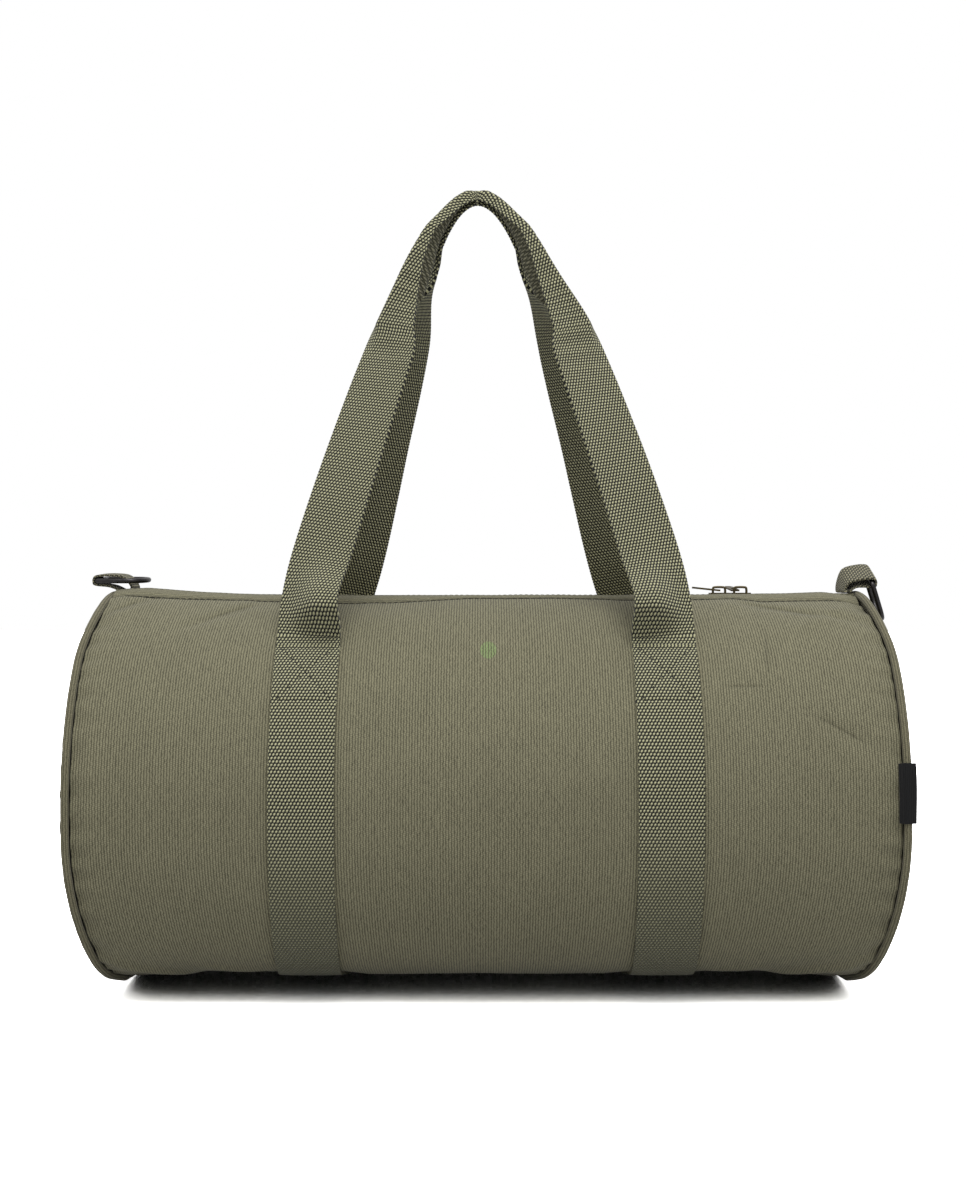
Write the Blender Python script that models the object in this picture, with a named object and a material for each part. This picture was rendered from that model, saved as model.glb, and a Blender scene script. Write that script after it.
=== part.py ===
# A barrel gym bag: canvas body, piped ends, webbing straps and handles, a two-way top zip and two D-rings.
# Metres, +Z up. X runs along the bag, the front faces -Y, and the bag stands on z = 0.
import math

import bpy
import bmesh
from mathutils import Vector

# Driving sizes of the whole bag
bagLength = 0.4824          # between the two piped end seams
bagDepth = 0.245            # front to back, over the canvas
bagHeight = 0.2430          # underside to zip line, over the canvas
bellyShare = 0.497          # height of the widest line, as a share of bagHeight
endBulge = 0.0146           # how far a filled end panel swells out past its rim
endTuck = 0.0155            # how far the lower end corners draw in towards the middle
tuckHeight = 0.100          # height over which they draw in
basePress = 0.0030          # how much of the round belly the floor presses flat
bellyPower = 2.3            # over 2, the lower half of the section is fuller than an ellipse
tuckPower = 1.8
bulgePower = 2.4

# Materials as bought
canvasWall = 0.0016
webbingWidth = 0.038
webbingWall = 0.0022
ringWebbingWidth = 0.025
ringWebbingWall = 0.0016
pipingRadius = 0.0024
pipingFlangeWall = 0.0008
seamAllowance = 0.010
bindingWall = 0.0015

# Clearances
seatGap = 0.0003            # between two pieces that touch
runGap = 0.0005             # between a piece that runs and its track

# Handles
strapSpacing = 0.212        # centre to centre of the two straps
handleRise = 0.2835         # from the foot of a handle to the middle of its apex
handleFootAngle = 40.5      # degrees round the bag from the zip line
handleTilt = 26.0           # degrees that the bands lean at the apex, front edge down
handleNest = 0.0034         # between the middles of the two bands at the apex
apexShift = -0.003          # the apex hangs a little to the left
strapEndStep = 1.9          # degrees from the handle's foot to the end of the strap below it
roundedEndShares = (0.97, 0.8, 0.45)    # stations of a handle's rounded end, in half thicknesses

# Zip
seamHalfWidth = 0.028       # zip line to the seam that joins the zip panel to the body
facingHalfWidth = 0.0125    # zip line to the folded edge of a facing
tapeWall = 0.0009
toothHeight = 0.0024
toothPitch = 0.0028
toothReach = 0.0018         # how far a tooth stands out from its bead
toothShare = 0.54           # tooth width as a share of the pitch
beadWidth = 0.0017
slideway = 0.0016           # free width between the two rows, for the slider's post
zipEndMargin = 0.0277       # end of the teeth to the end seam
stopLength = 0.0030
tapeDrop = 0.0026           # how far the tapes step down to pass under the facings
tapeStepShare = 0.74        # where the step starts, as a share of facingHalfWidth

# Sliders and pull tabs
sliderLength = 0.0120
sliderPlate = 0.0012
sliderFlange = 0.0010
postLengthShare = 0.3       # post that joins the plates, as a share of sliderLength
bailWire = 0.0008           # radius
bailSpan = 0.0094
bailRise = 0.0043
bailCornerShare = 0.74
bailShoulderShare = 0.72
leftSliderMargin = 0.0632   # slider's middle to the right end of the teeth
rightSliderMargin = 0.0495
tabLength = 0.0174
tabWidth = 0.0054
tabWall = 0.0011
tabSlotLength = 0.0068
tabSlotWidth = 0.0028
tabPinHeight = 0.0015       # pin's middle above the slider's top plate
legInSlot = 0.0022          # pin's middle to the bail's leg, where the right tab has slid along the bail
leftTabDroop = 6.0          # degrees below level, lying along the zip
rightTabRise = 8.0          # degrees above level, lying back over the rear facing
rightTabTurn = 98.0         # degrees round from pointing right, seen from above
tabShoulderShare = 0.8
tabTipShare = 0.6

# D-rings and their loops
ringWire = 0.0019           # radius
ringInnerWidth = 0.026
ringReach = 0.0296          # bar to the middle of the bow's wire
ringBowDepth = 0.0105       # how deep the bow is beyond its straight legs
leftBarOverhang = 0.0063    # bar's middle beyond the end seam
rightBarOverhang = 0.0050
leftBarRise = 0.00855       # bar's middle above the zip's end tab
rightBarRise = 0.01105
leftBarLean = 3.0           # degrees that the bar dips towards the front
rightBarLean = 22.0
leftRingSwing = 180.0       # degrees up from pointing straight out of the bag's end
rightRingSwing = -70.0
innerFootShare = 0.57       # ends of a loop's seat along the zip's end tab
outerFootShare = 0.86
outerLegShares = (0.50, 0.44, 0.45)     # along to the bar, up to the bar, share of its lean
innerLegShares = (-0.03, 0.5, 0.35)
topLayerShares = ((0.65, 1.10, 1.0), (0.22, 0.72, 0.8))     # along, height in fold radii, lean

# Tag and pocket
tagWidth = 0.0070
tagHeight = 0.0310
tagWall = 0.0008
tagAngle = 85.5             # degrees round the bag from the zip line to the tag's middle
pocketWidth = 0.165
pocketMiddle = 0.0825
pocketDepthAngle = 44.0

# Everything below is worked out from the sizes above.
underside = webbingWall + seatGap
bellyHeight = underside + bagHeight * bellyShare
upperAxis = bagHeight * (1 - bellyShare)
lowerAxis = bagHeight * bellyShare + basePress
halfDepth = bagDepth / 2
halfLength = bagLength / 2
sectionStep = 6.0           # degrees between two points of the section
facingStep = 2.5
panelStep = 9.0
pipingStep = 40.0
bowStep = 18.0
tagStep = 4.0
lowerPower = 2 / bellyPower
rimLift = pipingFlangeWall / 2 + seatGap
bodyEnd = pipingRadius + seatGap
strapStart = handleFootAngle + strapEndStep
zipHalfLength = halfLength - zipEndMargin


def newObject(name, mesh, color, roughness, metallic=0.0):
    material = bpy.data.materials.new(name)
    material.use_nodes = True
    shader = material.node_tree.nodes["Principled BSDF"]
    shader.inputs["Base Color"].default_value = (*color, 1)
    shader.inputs["Roughness"].default_value = roughness
    shader.inputs["Metallic"].default_value = metallic
    mesh.materials.append(material)
    part = bpy.data.objects.new(name, mesh)
    bpy.context.scene.collection.objects.link(part)
    return part


canvasFinish = ((0.150, 0.140, 0.092), 0.9)
webbingFinish = ((0.115, 0.120, 0.070), 0.9)
blackFinish = ((0.012, 0.012, 0.012), 0.7)
brassFinish = ((0.180, 0.140, 0.080), 0.4, 1.0)
gunmetalFinish = ((0.070, 0.070, 0.075), 0.3, 1.0)


# Joins rings of points into one closed skin, with its two ends capped or joined to each other.
def loftMesh(name, rings, closed=False, smooth=True):
    shape = bmesh.new()
    rows = [[shape.verts.new(point) for point in ring] for ring in rings]
    count = len(rows[0])
    pairs = list(zip(rows, rows[1:]))
    if closed:
        pairs.append((rows[-1], rows[0]))
    for first, second in pairs:
        for index in range(count):
            after = (index + 1) % count
            shape.faces.new((first[index], first[after], second[after], second[index]))
    if not closed:
        shape.faces.new(list(reversed(rows[0])))
        shape.faces.new(rows[-1])
    return finishMesh(name, shape, smooth)


def finishMesh(name, shape, smooth=True):
    bmesh.ops.recalc_face_normals(shape, faces=shape.faces)
    mesh = bpy.data.meshes.new(name)
    shape.to_mesh(mesh)
    shape.free()
    if smooth:
        mesh.shade_smooth()
        mesh.set_sharp_from_angle(angle=math.radians(40))
    return mesh


# A smooth curve through a few points, with steps points for each span.
def smoothPath(points, steps, closed=False):
    points = [Vector(point) for point in points]
    count = len(points)
    spans = count if closed else count - 1
    path = []
    for span in range(spans):
        if closed:
            before, start, end, after = (points[(span + k) % count] for k in (-1, 0, 1, 2))
        else:
            start, end = points[span], points[span + 1]
            before = points[span - 1] if span > 0 else start * 2 - end
            after = points[span + 2] if span + 2 < count else end * 2 - start
        for step in range(steps):
            share = step / steps
            path.append(
                0.5 * (2 * start + (end - before) * share
                       + (2 * before - 5 * start + 4 * end - after) * share ** 2
                       + (3 * start - before - 3 * end + after) * share ** 3)
            )
    if not closed:
        path.append(points[-1])
    return path


# The bag's section, by degrees round it from the zip line towards the front, as (y, z).
def sectionLine(angle):
    turn = math.radians(angle)
    across, up = math.sin(turn), math.cos(turn)
    if up >= 0:
        return Vector((0, -halfDepth * across, bellyHeight + upperAxis * up))
    wide = math.copysign(abs(across) ** lowerPower, across)
    deep = abs(up) ** lowerPower
    return Vector((0, -halfDepth * wide, max(bellyHeight - lowerAxis * deep, underside)))


def sectionOut(angle):
    along = sectionLine(angle + 0.5) - sectionLine(angle - 0.5)
    return Vector((0, -along.z, along.y)).normalized() * -1


def skinPoint(angle, lift, x=0.0):
    point = sectionLine(angle) + sectionOut(angle) * lift
    return Vector((x, point.y, point.z))


# How far from the middle the end seam runs at a given height.
def seamReach(height):
    low = max(0.0, 1 - (height - underside) / tuckHeight)
    return halfLength - endTuck * low ** tuckPower


def angleRange(first, last, step=sectionStep):
    count = max(2, round(abs(last - first) / step))
    return [first + (last - first) * index / count for index in range(count + 1)]


# Angles from first to last through the shared grid, so that pieces lying on each other have like facets.
def gridAngles(first, last):
    low = math.floor(first / sectionStep) + 1
    high = math.ceil(last / sectionStep)
    return [first] + [index * sectionStep for index in range(low, high)] + [last]


# Degrees round the bag at a place that is y in front of or behind the zip line.
def topAngle(y):
    return math.degrees(math.asin(y / halfDepth))


def gapAngle(gap):
    return math.degrees(gap / halfDepth)


# Body and ends

def makeBodyPanel():
    seam = topAngle(seamHalfWidth)
    angles = gridAngles(seam, 360 - seam)
    rings = []
    for side in (-1, 1):
        outer = [skinPoint(a, 0) for a in angles]
        inner = [skinPoint(a, -canvasWall) for a in reversed(angles)]
        rings.append([Vector((side * (seamReach(p.z) - bodyEnd), p.y, p.z)) for p in outer + inner])
    newObject("body_panel", loftMesh("body_panel", rings), *canvasFinish)


# Sweeps a small profile round the end seam. A profile point is (out along the bag, lift off the canvas).
def makeSeamRing(name, side, profile, finish, step):
    rings = []
    for angle in angleRange(0, 360, step)[:-1]:
        reach = seamReach(sectionLine(angle).z)
        ring = []
        for out, lift in profile:
            point = skinPoint(angle, lift)
            ring.append(Vector((side * (reach + out), point.y, point.z)))
        rings.append(ring)
    newObject(name, loftMesh(name, rings, closed=True), *finish)


def pipingProfile():
    halfFlange = pipingFlangeWall / 2
    start = math.degrees(math.asin(halfFlange / pipingRadius))
    profile = []
    for turn in angleRange(start, 360 - start, pipingStep):
        way = math.radians(turn)
        profile.append((pipingRadius * math.sin(way), -pipingRadius * math.cos(way)))
    return profile + [(-halfFlange, -seamAllowance), (halfFlange, -seamAllowance)]


def bindingProfile():
    top = -seamAllowance - seatGap
    return [(-bindingWall, top), (bindingWall, top),
            (bindingWall, top - bindingWall * 2), (-bindingWall, top - bindingWall * 2)]


def makeEndPanel(name, side):
    rimLine = -pipingRadius - seatGap
    domeShares = (1.0, 0.95, 0.85, 0.7, 0.5, 0.25)
    angles = angleRange(0, 360, panelStep)[:-1]
    centre = Vector((0, 0, bellyHeight))

    def domeRing(share, outer):
        ring = []
        for angle in angles:
            rim = skinPoint(angle, rimLine)
            tuck = halfLength - seamReach(sectionLine(angle).z)
            swell = endBulge * (1 - share ** bulgePower)
            place = centre.lerp(rim, share)
            x = halfLength - tuck * share ** 2 + rimLift + swell + (canvasWall if outer else 0)
            ring.append(Vector((side * x, place.y, place.z)))
        return ring

    rings = [domeRing(share, True) for share in reversed(domeShares)]
    rings += [domeRing(share, False) for share in domeShares]
    newObject(name, loftMesh(name, rings), *canvasFinish)


# Zip panel

zipHeight = sectionLine(0).z - toothHeight / 2 - seatGap
toothBack = slideway / 2 + toothReach + beadWidth


def makeFacing(name, side):
    seam = topAngle(seamHalfWidth) - gapAngle(seatGap)
    angles = angleRange(topAngle(facingHalfWidth), seam, facingStep)
    rings = []
    for end in (-1, 1):
        outer = [skinPoint(side * a, 0) for a in angles]
        inner = [skinPoint(side * a, -canvasWall) for a in reversed(angles)]
        rings.append([Vector((end * (halfLength - bodyEnd), p.y, p.z)) for p in outer + inner])
    newObject(name, loftMesh(name, rings), *canvasFinish)


# The tape lies level beside the teeth, steps down, and passes under the facing.
def makeTape(name, side):
    tapeSeatShares = (0.4, 0.75)
    flatEdge = facingHalfWidth * tapeStepShare
    start = toothBack + seatGap
    under = sectionLine(topAngle(facingHalfWidth)).z - canvasWall - seatGap - tapeWall / 2
    stepDown = min(zipHeight - under, tapeDrop)
    line = [(start, zipHeight), (flatEdge, zipHeight), (facingHalfWidth, zipHeight - stepDown)]
    for share in tapeSeatShares:
        y = facingHalfWidth + (seamHalfWidth - facingHalfWidth) * share
        line.append((y, sectionLine(topAngle(y)).z - canvasWall - seatGap - tapeWall / 2))
    half = tapeWall / 2
    section = [(y, z + half) for y, z in line] + [(y, z - half) for y, z in reversed(line)]
    rings = []
    for end in (-1, 1):
        rings.append([Vector((end * (halfLength - bodyEnd), -side * y, z)) for y, z in section])
    newObject(name, loftMesh(name, rings), *webbingFinish)


# One row of teeth on its bead, cut as a comb and given its height.
def makeTeeth(name, side):
    count = int(2 * zipHalfLength / toothPitch) - 1
    half = toothHeight / 2
    tip = slideway / 2
    root = tip + toothReach
    offset = 0 if side > 0 else toothPitch / 2
    start = -count * toothPitch / 2 + offset - toothPitch / 4
    outline = [(-zipHalfLength, toothBack), (-zipHalfLength, root)]
    for index in range(count):
        left = start + index * toothPitch
        right = left + toothPitch * toothShare
        taper = toothPitch * toothShare / 6
        outline += [(left, root), (left + taper, tip), (right - taper, tip), (right, root)]
    outline += [(zipHalfLength, root), (zipHalfLength, toothBack)]
    rings = []
    for z in (zipHeight - half, zipHeight + half):
        rings.append([Vector((x, -side * y, z)) for x, y in outline])
    newObject(name, loftMesh(name, rings, smooth=False), *brassFinish)


def boxRings(x0, x1, y0, y1, z0, z1):
    return [[Vector((x, y0, z0)), Vector((x, y1, z0)), Vector((x, y1, z1)), Vector((x, y0, z1))] for x in (x0, x1)]


def makeZipStop(name, side):
    x0 = side * (zipHalfLength + seatGap)
    x1 = x0 + side * stopLength
    half = toothHeight / 2 + seatGap
    rings = boxRings(x0, x1, -toothBack, toothBack, zipHeight - half, zipHeight + half)
    newObject(name, loftMesh(name, rings, smooth=False), *brassFinish)


endTabBase = zipHeight + tapeWall / 2 + seatGap
endTabTop = endTabBase + canvasWall
endTabStart = zipHalfLength + stopLength + seatGap * 2
endTabEnd = halfLength - bodyEnd - seatGap
endTabLength = endTabEnd - endTabStart


def makeEndTab(name, side):
    halfWidth = facingHalfWidth - seatGap
    rings = boxRings(side * endTabStart, side * endTabEnd, -halfWidth, halfWidth, endTabBase, endTabTop)
    newObject(name, loftMesh(name, rings, smooth=False), *canvasFinish)


# Joins one solid to another, the helper staying hidden as a construction piece.
def joinTo(base, mesh, name):
    helper = bpy.data.objects.new(name, mesh)
    bpy.context.scene.collection.objects.link(helper)
    helper.hide_render = True
    helper.display_type = 'WIRE'
    helper.parent = base.parent
    helper.location = base.location
    join = base.modifiers.new(name, 'BOOLEAN')
    join.operation = 'UNION'
    join.object = helper


def tubeRings(path, radius, sides, across):
    rings = []
    for index, point in enumerate(path):
        before = path[max(index - 1, 0)]
        after = path[min(index + 1, len(path) - 1)]
        along = (after - before).normalized()
        up = along.cross(across).normalized()
        ring = []
        for side in range(sides):
            turn = 2 * math.pi * (side + 0.5) / sides
            ring.append(point + across * radius * math.cos(turn) + up * radius * math.sin(turn))
        rings.append(ring)
    return rings


plateBase = toothHeight / 2 + seatGap
plateTop = plateBase + sliderPlate
flangeEdge = tapeWall / 2 + seatGap
innerHalf = toothBack + runGap
outerHalf = innerHalf + sliderFlange
tabPin = plateTop + tabPinHeight
sliderPlaces = {"left": zipHalfLength - leftSliderMargin, "right": zipHalfLength - rightSliderMargin}


# A slider's two plates with turned-in flanges, the post that joins them, and the bail over the top.
def makeSlider(side):
    name = "slider_" + side
    nose = 1 if side == "left" else -1
    half = sliderLength / 2
    empty = bpy.data.objects.new(name + "_place", None)
    bpy.context.scene.collection.objects.link(empty)
    empty.location = (sliderPlaces[side], 0, zipHeight)

    def plateMesh(way):
        profile = [(-outerHalf, plateTop), (-outerHalf, flangeEdge), (-innerHalf, flangeEdge),
                   (-innerHalf, plateBase), (innerHalf, plateBase), (innerHalf, flangeEdge),
                   (outerHalf, flangeEdge), (outerHalf, plateTop)]
        rings = [[Vector((x, y, way * z)) for y, z in profile] for x in (-half, half)]
        return loftMesh(name, rings, smooth=False)

    slider = newObject(name, plateMesh(1), *brassFinish)
    slider.parent = empty
    postHalf = slideway / 2 - seatGap
    postTop = plateBase + sliderPlate / 2
    post = boxRings(nose * (half - sliderLength * postLengthShare), nose * half, -postHalf, postHalf,
                    -postTop, postTop)
    joinTo(slider, plateMesh(-1), name + "_lower_plate")
    joinTo(slider, loftMesh(name, post, smooth=False), name + "_post")
    foot = plateTop - sliderPlate / 2
    crown = plateTop + bailRise - bailWire
    span = bailSpan / 2 - bailWire
    corner = span * bailCornerShare
    shoulder = foot + (crown - foot) * bailShoulderShare
    line = [(-span, foot), (-span, shoulder), (-corner, crown), (corner, crown),
            (span, shoulder), (span, foot)]
    path = smoothPath([Vector((x, 0, z)) for x, z in line], 3)
    joinTo(slider, loftMesh(name, tubeRings(path, bailWire, 8, Vector((0, 1, 0)))), name + "_bail")
    return empty


# A flat pull with a slot at its end. The left one's pin turns under the bail, and the right one hangs round
# the bail's leg.
def makePullTab(side, slider):
    name = "pull_tab_" + side
    origin = 0 if side == "left" else legInSlot
    pinHalf = tabWidth / 2
    arm = (tabWidth - tabSlotWidth) / 2
    pinSize = tabWall / 2
    slotEnd = tabSlotLength
    shoulder = tabLength * tabShoulderShare
    tipHalf = pinHalf * tabTipShare
    outline = [(-pinSize, -pinHalf), (slotEnd, -pinHalf), (shoulder, -pinHalf), (tabLength, -tipHalf),
               (tabLength, tipHalf), (shoulder, pinHalf), (slotEnd, pinHalf), (-pinSize, pinHalf)]
    hole = [(pinSize, -pinHalf + arm), (slotEnd, -pinHalf + arm), (slotEnd, pinHalf - arm),
            (pinSize, pinHalf - arm)]
    shape = bmesh.new()
    layers = []
    for z in (-tabWall / 2, tabWall / 2):
        outer = [shape.verts.new((x - origin, y, z)) for x, y in outline]
        inner = [shape.verts.new((x - origin, y, z)) for x, y in hole]
        layers.append((outer, inner))
    for ring in (0, 1):
        low, high = layers[0][ring], layers[1][ring]
        for index in range(len(low)):
            after = (index + 1) % len(low)
            shape.faces.new((low[index], low[after], high[after], high[index]))
    for outer, inner in layers:
        shape.faces.new((outer[0], outer[1], inner[1], inner[0]))
        shape.faces.new((outer[1], outer[2], outer[3], outer[4], outer[5], outer[6], inner[2], inner[1]))
        shape.faces.new((outer[6], outer[7], inner[3], inner[2]))
        shape.faces.new((outer[7], outer[0], inner[0], inner[3]))
    tab = newObject(name, finishMesh(name, shape, smooth=False), *brassFinish)
    tab.parent = slider
    if side == "left":
        tab.location = (0, 0, tabPin)
        tab.rotation_euler = (0, math.radians(-leftTabDroop), math.radians(180))
    else:
        rise = math.radians(rightTabRise)
        tab.location = (bailWire - bailSpan / 2, 0, tabPin + legInSlot * math.sin(rise))
        tab.rotation_euler = (0, -rise, math.radians(rightTabTurn))


# Straps and handles

def makeStrap(name, side):
    rings = []
    for angle in gridAngles(strapStart, 360 - strapStart):
        ring = []
        for across, lift in ((-0.5, 0), (0.5, 0), (0.5, 1), (-0.5, 1)):
            x = side * strapSpacing / 2 + across * webbingWidth
            ring.append(skinPoint(angle, seatGap + lift * webbingWall, x))
        rings.append(ring)
    newObject(name, loftMesh(name, rings), *webbingFinish)


# Each row: share of the rise, share of half the strap spacing, share of the apex twist.
frontLegShares = [(0, 1.0, 0), (0.10, 0.98, 0.16), (0.21, 0.918, 0.28), (0.41, 0.76, 0.41), (0.64, 0.557, 0.61),
                  (0.79, 0.408, 0.96), (0.88, 0.323, 1.06), (0.93, 0.254, 1.06), (0.985, 0.13, 1.02), (1, 0, 1)]
rearLegShares = [(0, 1.0, 0), (0.10, 0.90, 0.10), (0.22, 0.807, 0.17), (0.36, 0.71, 0.25), (0.47, 0.632, 0.32),
                 (0.60, 0.528, 0.42), (0.70, 0.443, 0.55), (0.80, 0.368, 0.72), (0.88, 0.274, 0.86),
                 (0.94, 0.195, 0.94), (0.985, 0.10, 1.0), (1, 0, 1)]

handleFoot = skinPoint(handleFootAngle, seatGap + webbingWall / 2)


# Middle line, outward normal and width direction of a handle at each of its stations.
def handleStations(front, foot, legShares):
    apex = Vector((0, 0, handleFoot.z + handleRise))
    tilt = math.radians(handleTilt)
    if not front:
        apex += Vector((0, math.sin(tilt), -math.cos(tilt))) * handleNest
    rise = apex - foot
    upward = rise.normalized()
    sideways = Vector((1, 0, 0))
    plane = sideways.cross(upward) if front else upward.cross(sideways)
    lean = math.asin(abs(rise.y) / rise.length)
    apexTwist = math.pi / 2 - lean - tilt if front else math.pi / 2 - lean + tilt
    half = strapSpacing / 2
    points = [Vector((-spread * half, up * rise.length, twist)) for up, spread, twist in legShares]
    points += [Vector((-p.x, p.y, p.z)) for p in reversed(points[:-1])]
    line = smoothPath(points, 3)
    stations = []
    for index, point in enumerate(line):
        before, after = line[max(index - 1, 0)], line[min(index + 1, len(line) - 1)]
        along = (sideways * (after.x - before.x) + upward * (after.y - before.y)).normalized()
        if index in (0, len(line) - 1):
            along = upward if index == 0 else -upward
        outward = plane.cross(along) if front else along.cross(plane)
        twist = point.z * apexTwist
        normal = plane * math.cos(twist) + outward * math.sin(twist)
        share = point.y / rise.length
        place = foot + rise * share + sideways * (point.x + apexShift * share * share)
        stations.append((place, normal, normal.cross(along), along))
    return stations


# A flat webbing band along the stations, with both ends rounded about the hinge line.
def bandRings(stations):
    rings = []
    half = webbingWall / 2

    def bandRing(place, normal, across, thin):
        corners = ((-0.5, -1), (0.5, -1), (0.5, 1), (-0.5, 1))
        return [place + across * (webbingWidth * u) + normal * (half * thin * v) for u, v in corners]

    first, last = stations[0], stations[-1]
    for share in roundedEndShares:
        thin = math.sqrt(1 - share * share)
        rings.append(bandRing(first[0] - first[3] * half * share, first[1], first[2], thin))
    for place, normal, across, along in stations:
        rings.append(bandRing(place, normal, across, 1))
    for share in reversed(roundedEndShares):
        thin = math.sqrt(1 - share * share)
        rings.append(bandRing(last[0] + last[3] * half * share, last[1], last[2], thin))
    return rings


def makeHandle(name, front, legShares):
    foot = Vector((0, handleFoot.y if front else -handleFoot.y, handleFoot.z))
    rings = [[point - foot for point in ring] for ring in bandRings(handleStations(front, foot, legShares))]
    handle = newObject(name, loftMesh(name, rings), *webbingFinish)
    handle.location = foot


# D-rings and the webbing loops that hold them

ringBars = {
    "left": (leftBarOverhang, leftBarRise, leftBarLean, leftRingSwing),
    "right": (rightBarOverhang, rightBarRise, rightBarLean, rightRingSwing),
}


def ringFrame(side):
    overhang, rise, roll, swing = ringBars[side]
    reach, height = halfLength + overhang, endTabTop + rise
    way = -1 if side == "left" else 1
    lean = math.radians(roll)
    across = Vector((0, -math.cos(lean), -math.sin(lean)))
    upward = Vector((0, -math.sin(lean), math.cos(lean)))
    return Vector((way * reach, 0, height)), Vector((way, 0, 0)), across, upward


def makeRing(side):
    name = "d_ring_" + side
    bar, outward, across, upward = ringFrame(side)
    turn = math.radians(ringBars[side][-1])
    reach = outward * math.cos(turn) + upward * math.sin(turn)
    halfBar = ringInnerWidth / 2 + ringWire
    corner = ringWire * 4 / 3
    straight = ringReach - ringBowDepth
    path = [(halfBar - corner, 0), (halfBar - corner * 0.3, corner * 0.3), (halfBar, corner)]
    for degrees in angleRange(0, 180, bowStep):
        way = math.radians(degrees)
        path.append((halfBar * math.cos(way), straight + ringBowDepth * math.sin(way)))
    path += [(-halfBar, corner), (-halfBar + corner * 0.3, corner * 0.3), (-halfBar + corner, 0)]
    path.append((0, 0))
    normal = across.cross(reach)
    sides = 8
    rings = []
    for index, (u, v) in enumerate(path):
        pu, pv = path[index - 1]
        nu, nv = path[(index + 1) % len(path)]
        along = Vector((nu - pu, nv - pv)).normalized()
        ring = []
        for step in range(sides):
            angle = 2 * math.pi * (step + 0.5) / sides
            du, dv = along.y * math.cos(angle) * ringWire, -along.x * math.cos(angle) * ringWire
            point = across * (u + du) + reach * (v + dv) + normal * ringWire * math.sin(angle)
            ring.append(point)
        rings.append(ring)
    ringObject = newObject(name, loftMesh(name, rings, closed=True), *gunmetalFinish)
    ringObject.location = bar


# A webbing loop: both ends sewn to the zip's end tab, the fold wrapped round the ring's bar.
def makeRingLoop(side):
    name = "ring_loop_" + side
    bar, outward, across, upward = ringFrame(side)
    fold = ringWire + seatGap + ringWebbingWall / 2 + seatGap
    seat = endTabTop + seatGap * 2 + ringWebbingWall / 2
    innerFoot = endTabStart + endTabLength * innerFootShare
    outerFoot = endTabStart + endTabLength * outerFootShare
    way = outward.x
    reach = way * bar.x
    line = [(innerFoot, seat, 0.0), ((innerFoot + outerFoot) / 2, seat, 0.0), (outerFoot, seat, 0.0)]
    lift = bar.z - seat
    along, up, turned = outerLegShares
    line.append((outerFoot + (reach - outerFoot) * along, seat + lift * up, turned))
    for degrees in (-60, -15, 30, 75):
        angle = math.radians(degrees)
        line.append((reach + fold * math.cos(angle), bar.z + fold * math.sin(angle), 1.0))
    for along, up, turned in topLayerShares:
        line.append((innerFoot + (reach - innerFoot) * along, bar.z + fold * up, turned))
    along, up, turned = innerLegShares
    line.append((innerFoot + (reach - innerFoot) * along, seat + lift * up, turned))
    lean = math.asin(-across.z)
    path = smoothPath([Vector(point) for point in line], 2, closed=True)
    rings = []
    for index, point in enumerate(path):
        before, after = path[index - 1], path[(index + 1) % len(path)]
        along = Vector((after.x - before.x, after.y - before.y)).normalized()
        roll = lean * min(max(point.z, 0.0), 1.0)
        w = Vector((0, -math.cos(roll), -math.sin(roll)))
        n = Vector((0, -math.sin(roll), math.cos(roll)))
        middle = Vector((0, 0, bar.z)) + n * (point.y - bar.z)
        ring = []
        for u, v in ((-0.5, -0.5), (0.5, -0.5), (0.5, 0.5), (-0.5, 0.5)):
            offset = v * ringWebbingWall
            place = middle + w * (u * ringWebbingWidth) + n * (-along.x * offset)
            ring.append(Vector((way * (point.x + along.y * offset), place.y, place.z)))
        rings.append(ring)
    newObject(name, loftMesh(name, rings, closed=True), *webbingFinish)


# Side tag and inner pocket

# The folded tag grows out of the right end seam and lies back over the piping.
def makeTag():
    lift = pipingRadius + seatGap
    halfTurn = gapAngle(tagHeight) / 2
    rings = []
    for angle in angleRange(tagAngle - halfTurn, tagAngle + halfTurn, tagStep):
        reach = seamReach(sectionLine(angle).z)
        start = reach - pipingRadius - seatGap
        profile = [(start - pipingRadius, seatGap), (start, lift), (start + tagWidth, lift)]
        ring = [(x, rise) for x, rise in profile] + [(x, rise + tagWall) for x, rise in reversed(profile)]
        rings.append([skinPoint(angle, rise, x) for x, rise in ring])
    newObject("side_tag", loftMesh("side_tag", rings), *blackFinish)


# A flat pocket hung from the front zip seam, against the inside of the front.
def makePocket():
    top = topAngle(seamHalfWidth) + 1
    angles = gridAngles(top, top + pocketDepthAngle)
    outerLift = -canvasWall - seatGap
    rings = []
    for x in (pocketMiddle - pocketWidth / 2, pocketMiddle + pocketWidth / 2):
        outer = [skinPoint(a, outerLift, x) for a in angles]
        inner = [skinPoint(a, outerLift - canvasWall, x) for a in reversed(angles)]
        rings.append(outer + inner)
    newObject("inner_pocket", loftMesh("inner_pocket", rings), *canvasFinish)


def main():
    for old in list(bpy.data.objects):
        bpy.data.objects.remove(old)
    makeBodyPanel()
    for name, side in (("left", -1), ("right", 1)):
        makeEndPanel("end_panel_" + name, side)
        makeSeamRing("piping_" + name, side, pipingProfile(), canvasFinish, 6.0)
        makeSeamRing("seam_binding_" + name, side, bindingProfile(), blackFinish, 6.0)
        makeStrap("strap_" + name, side)
        makeZipStop("zip_stop_" + name, side)
        makeEndTab("zip_end_tab_" + name, side)
        makePullTab(name, makeSlider(name))
        makeRing(name)
        makeRingLoop(name)
    for name, side in (("front", 1), ("rear", -1)):
        makeFacing("zip_facing_" + name, side)
        makeTape("zip_tape_" + name, side)
        makeTeeth("zip_teeth_" + name, side)
    makeHandle("front_handle", True, frontLegShares)
    makeHandle("rear_handle", False, rearLegShares)
    makeTag()
    makePocket()


main()
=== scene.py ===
import math

import bpy
import numpy as np
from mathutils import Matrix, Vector, noise


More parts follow.
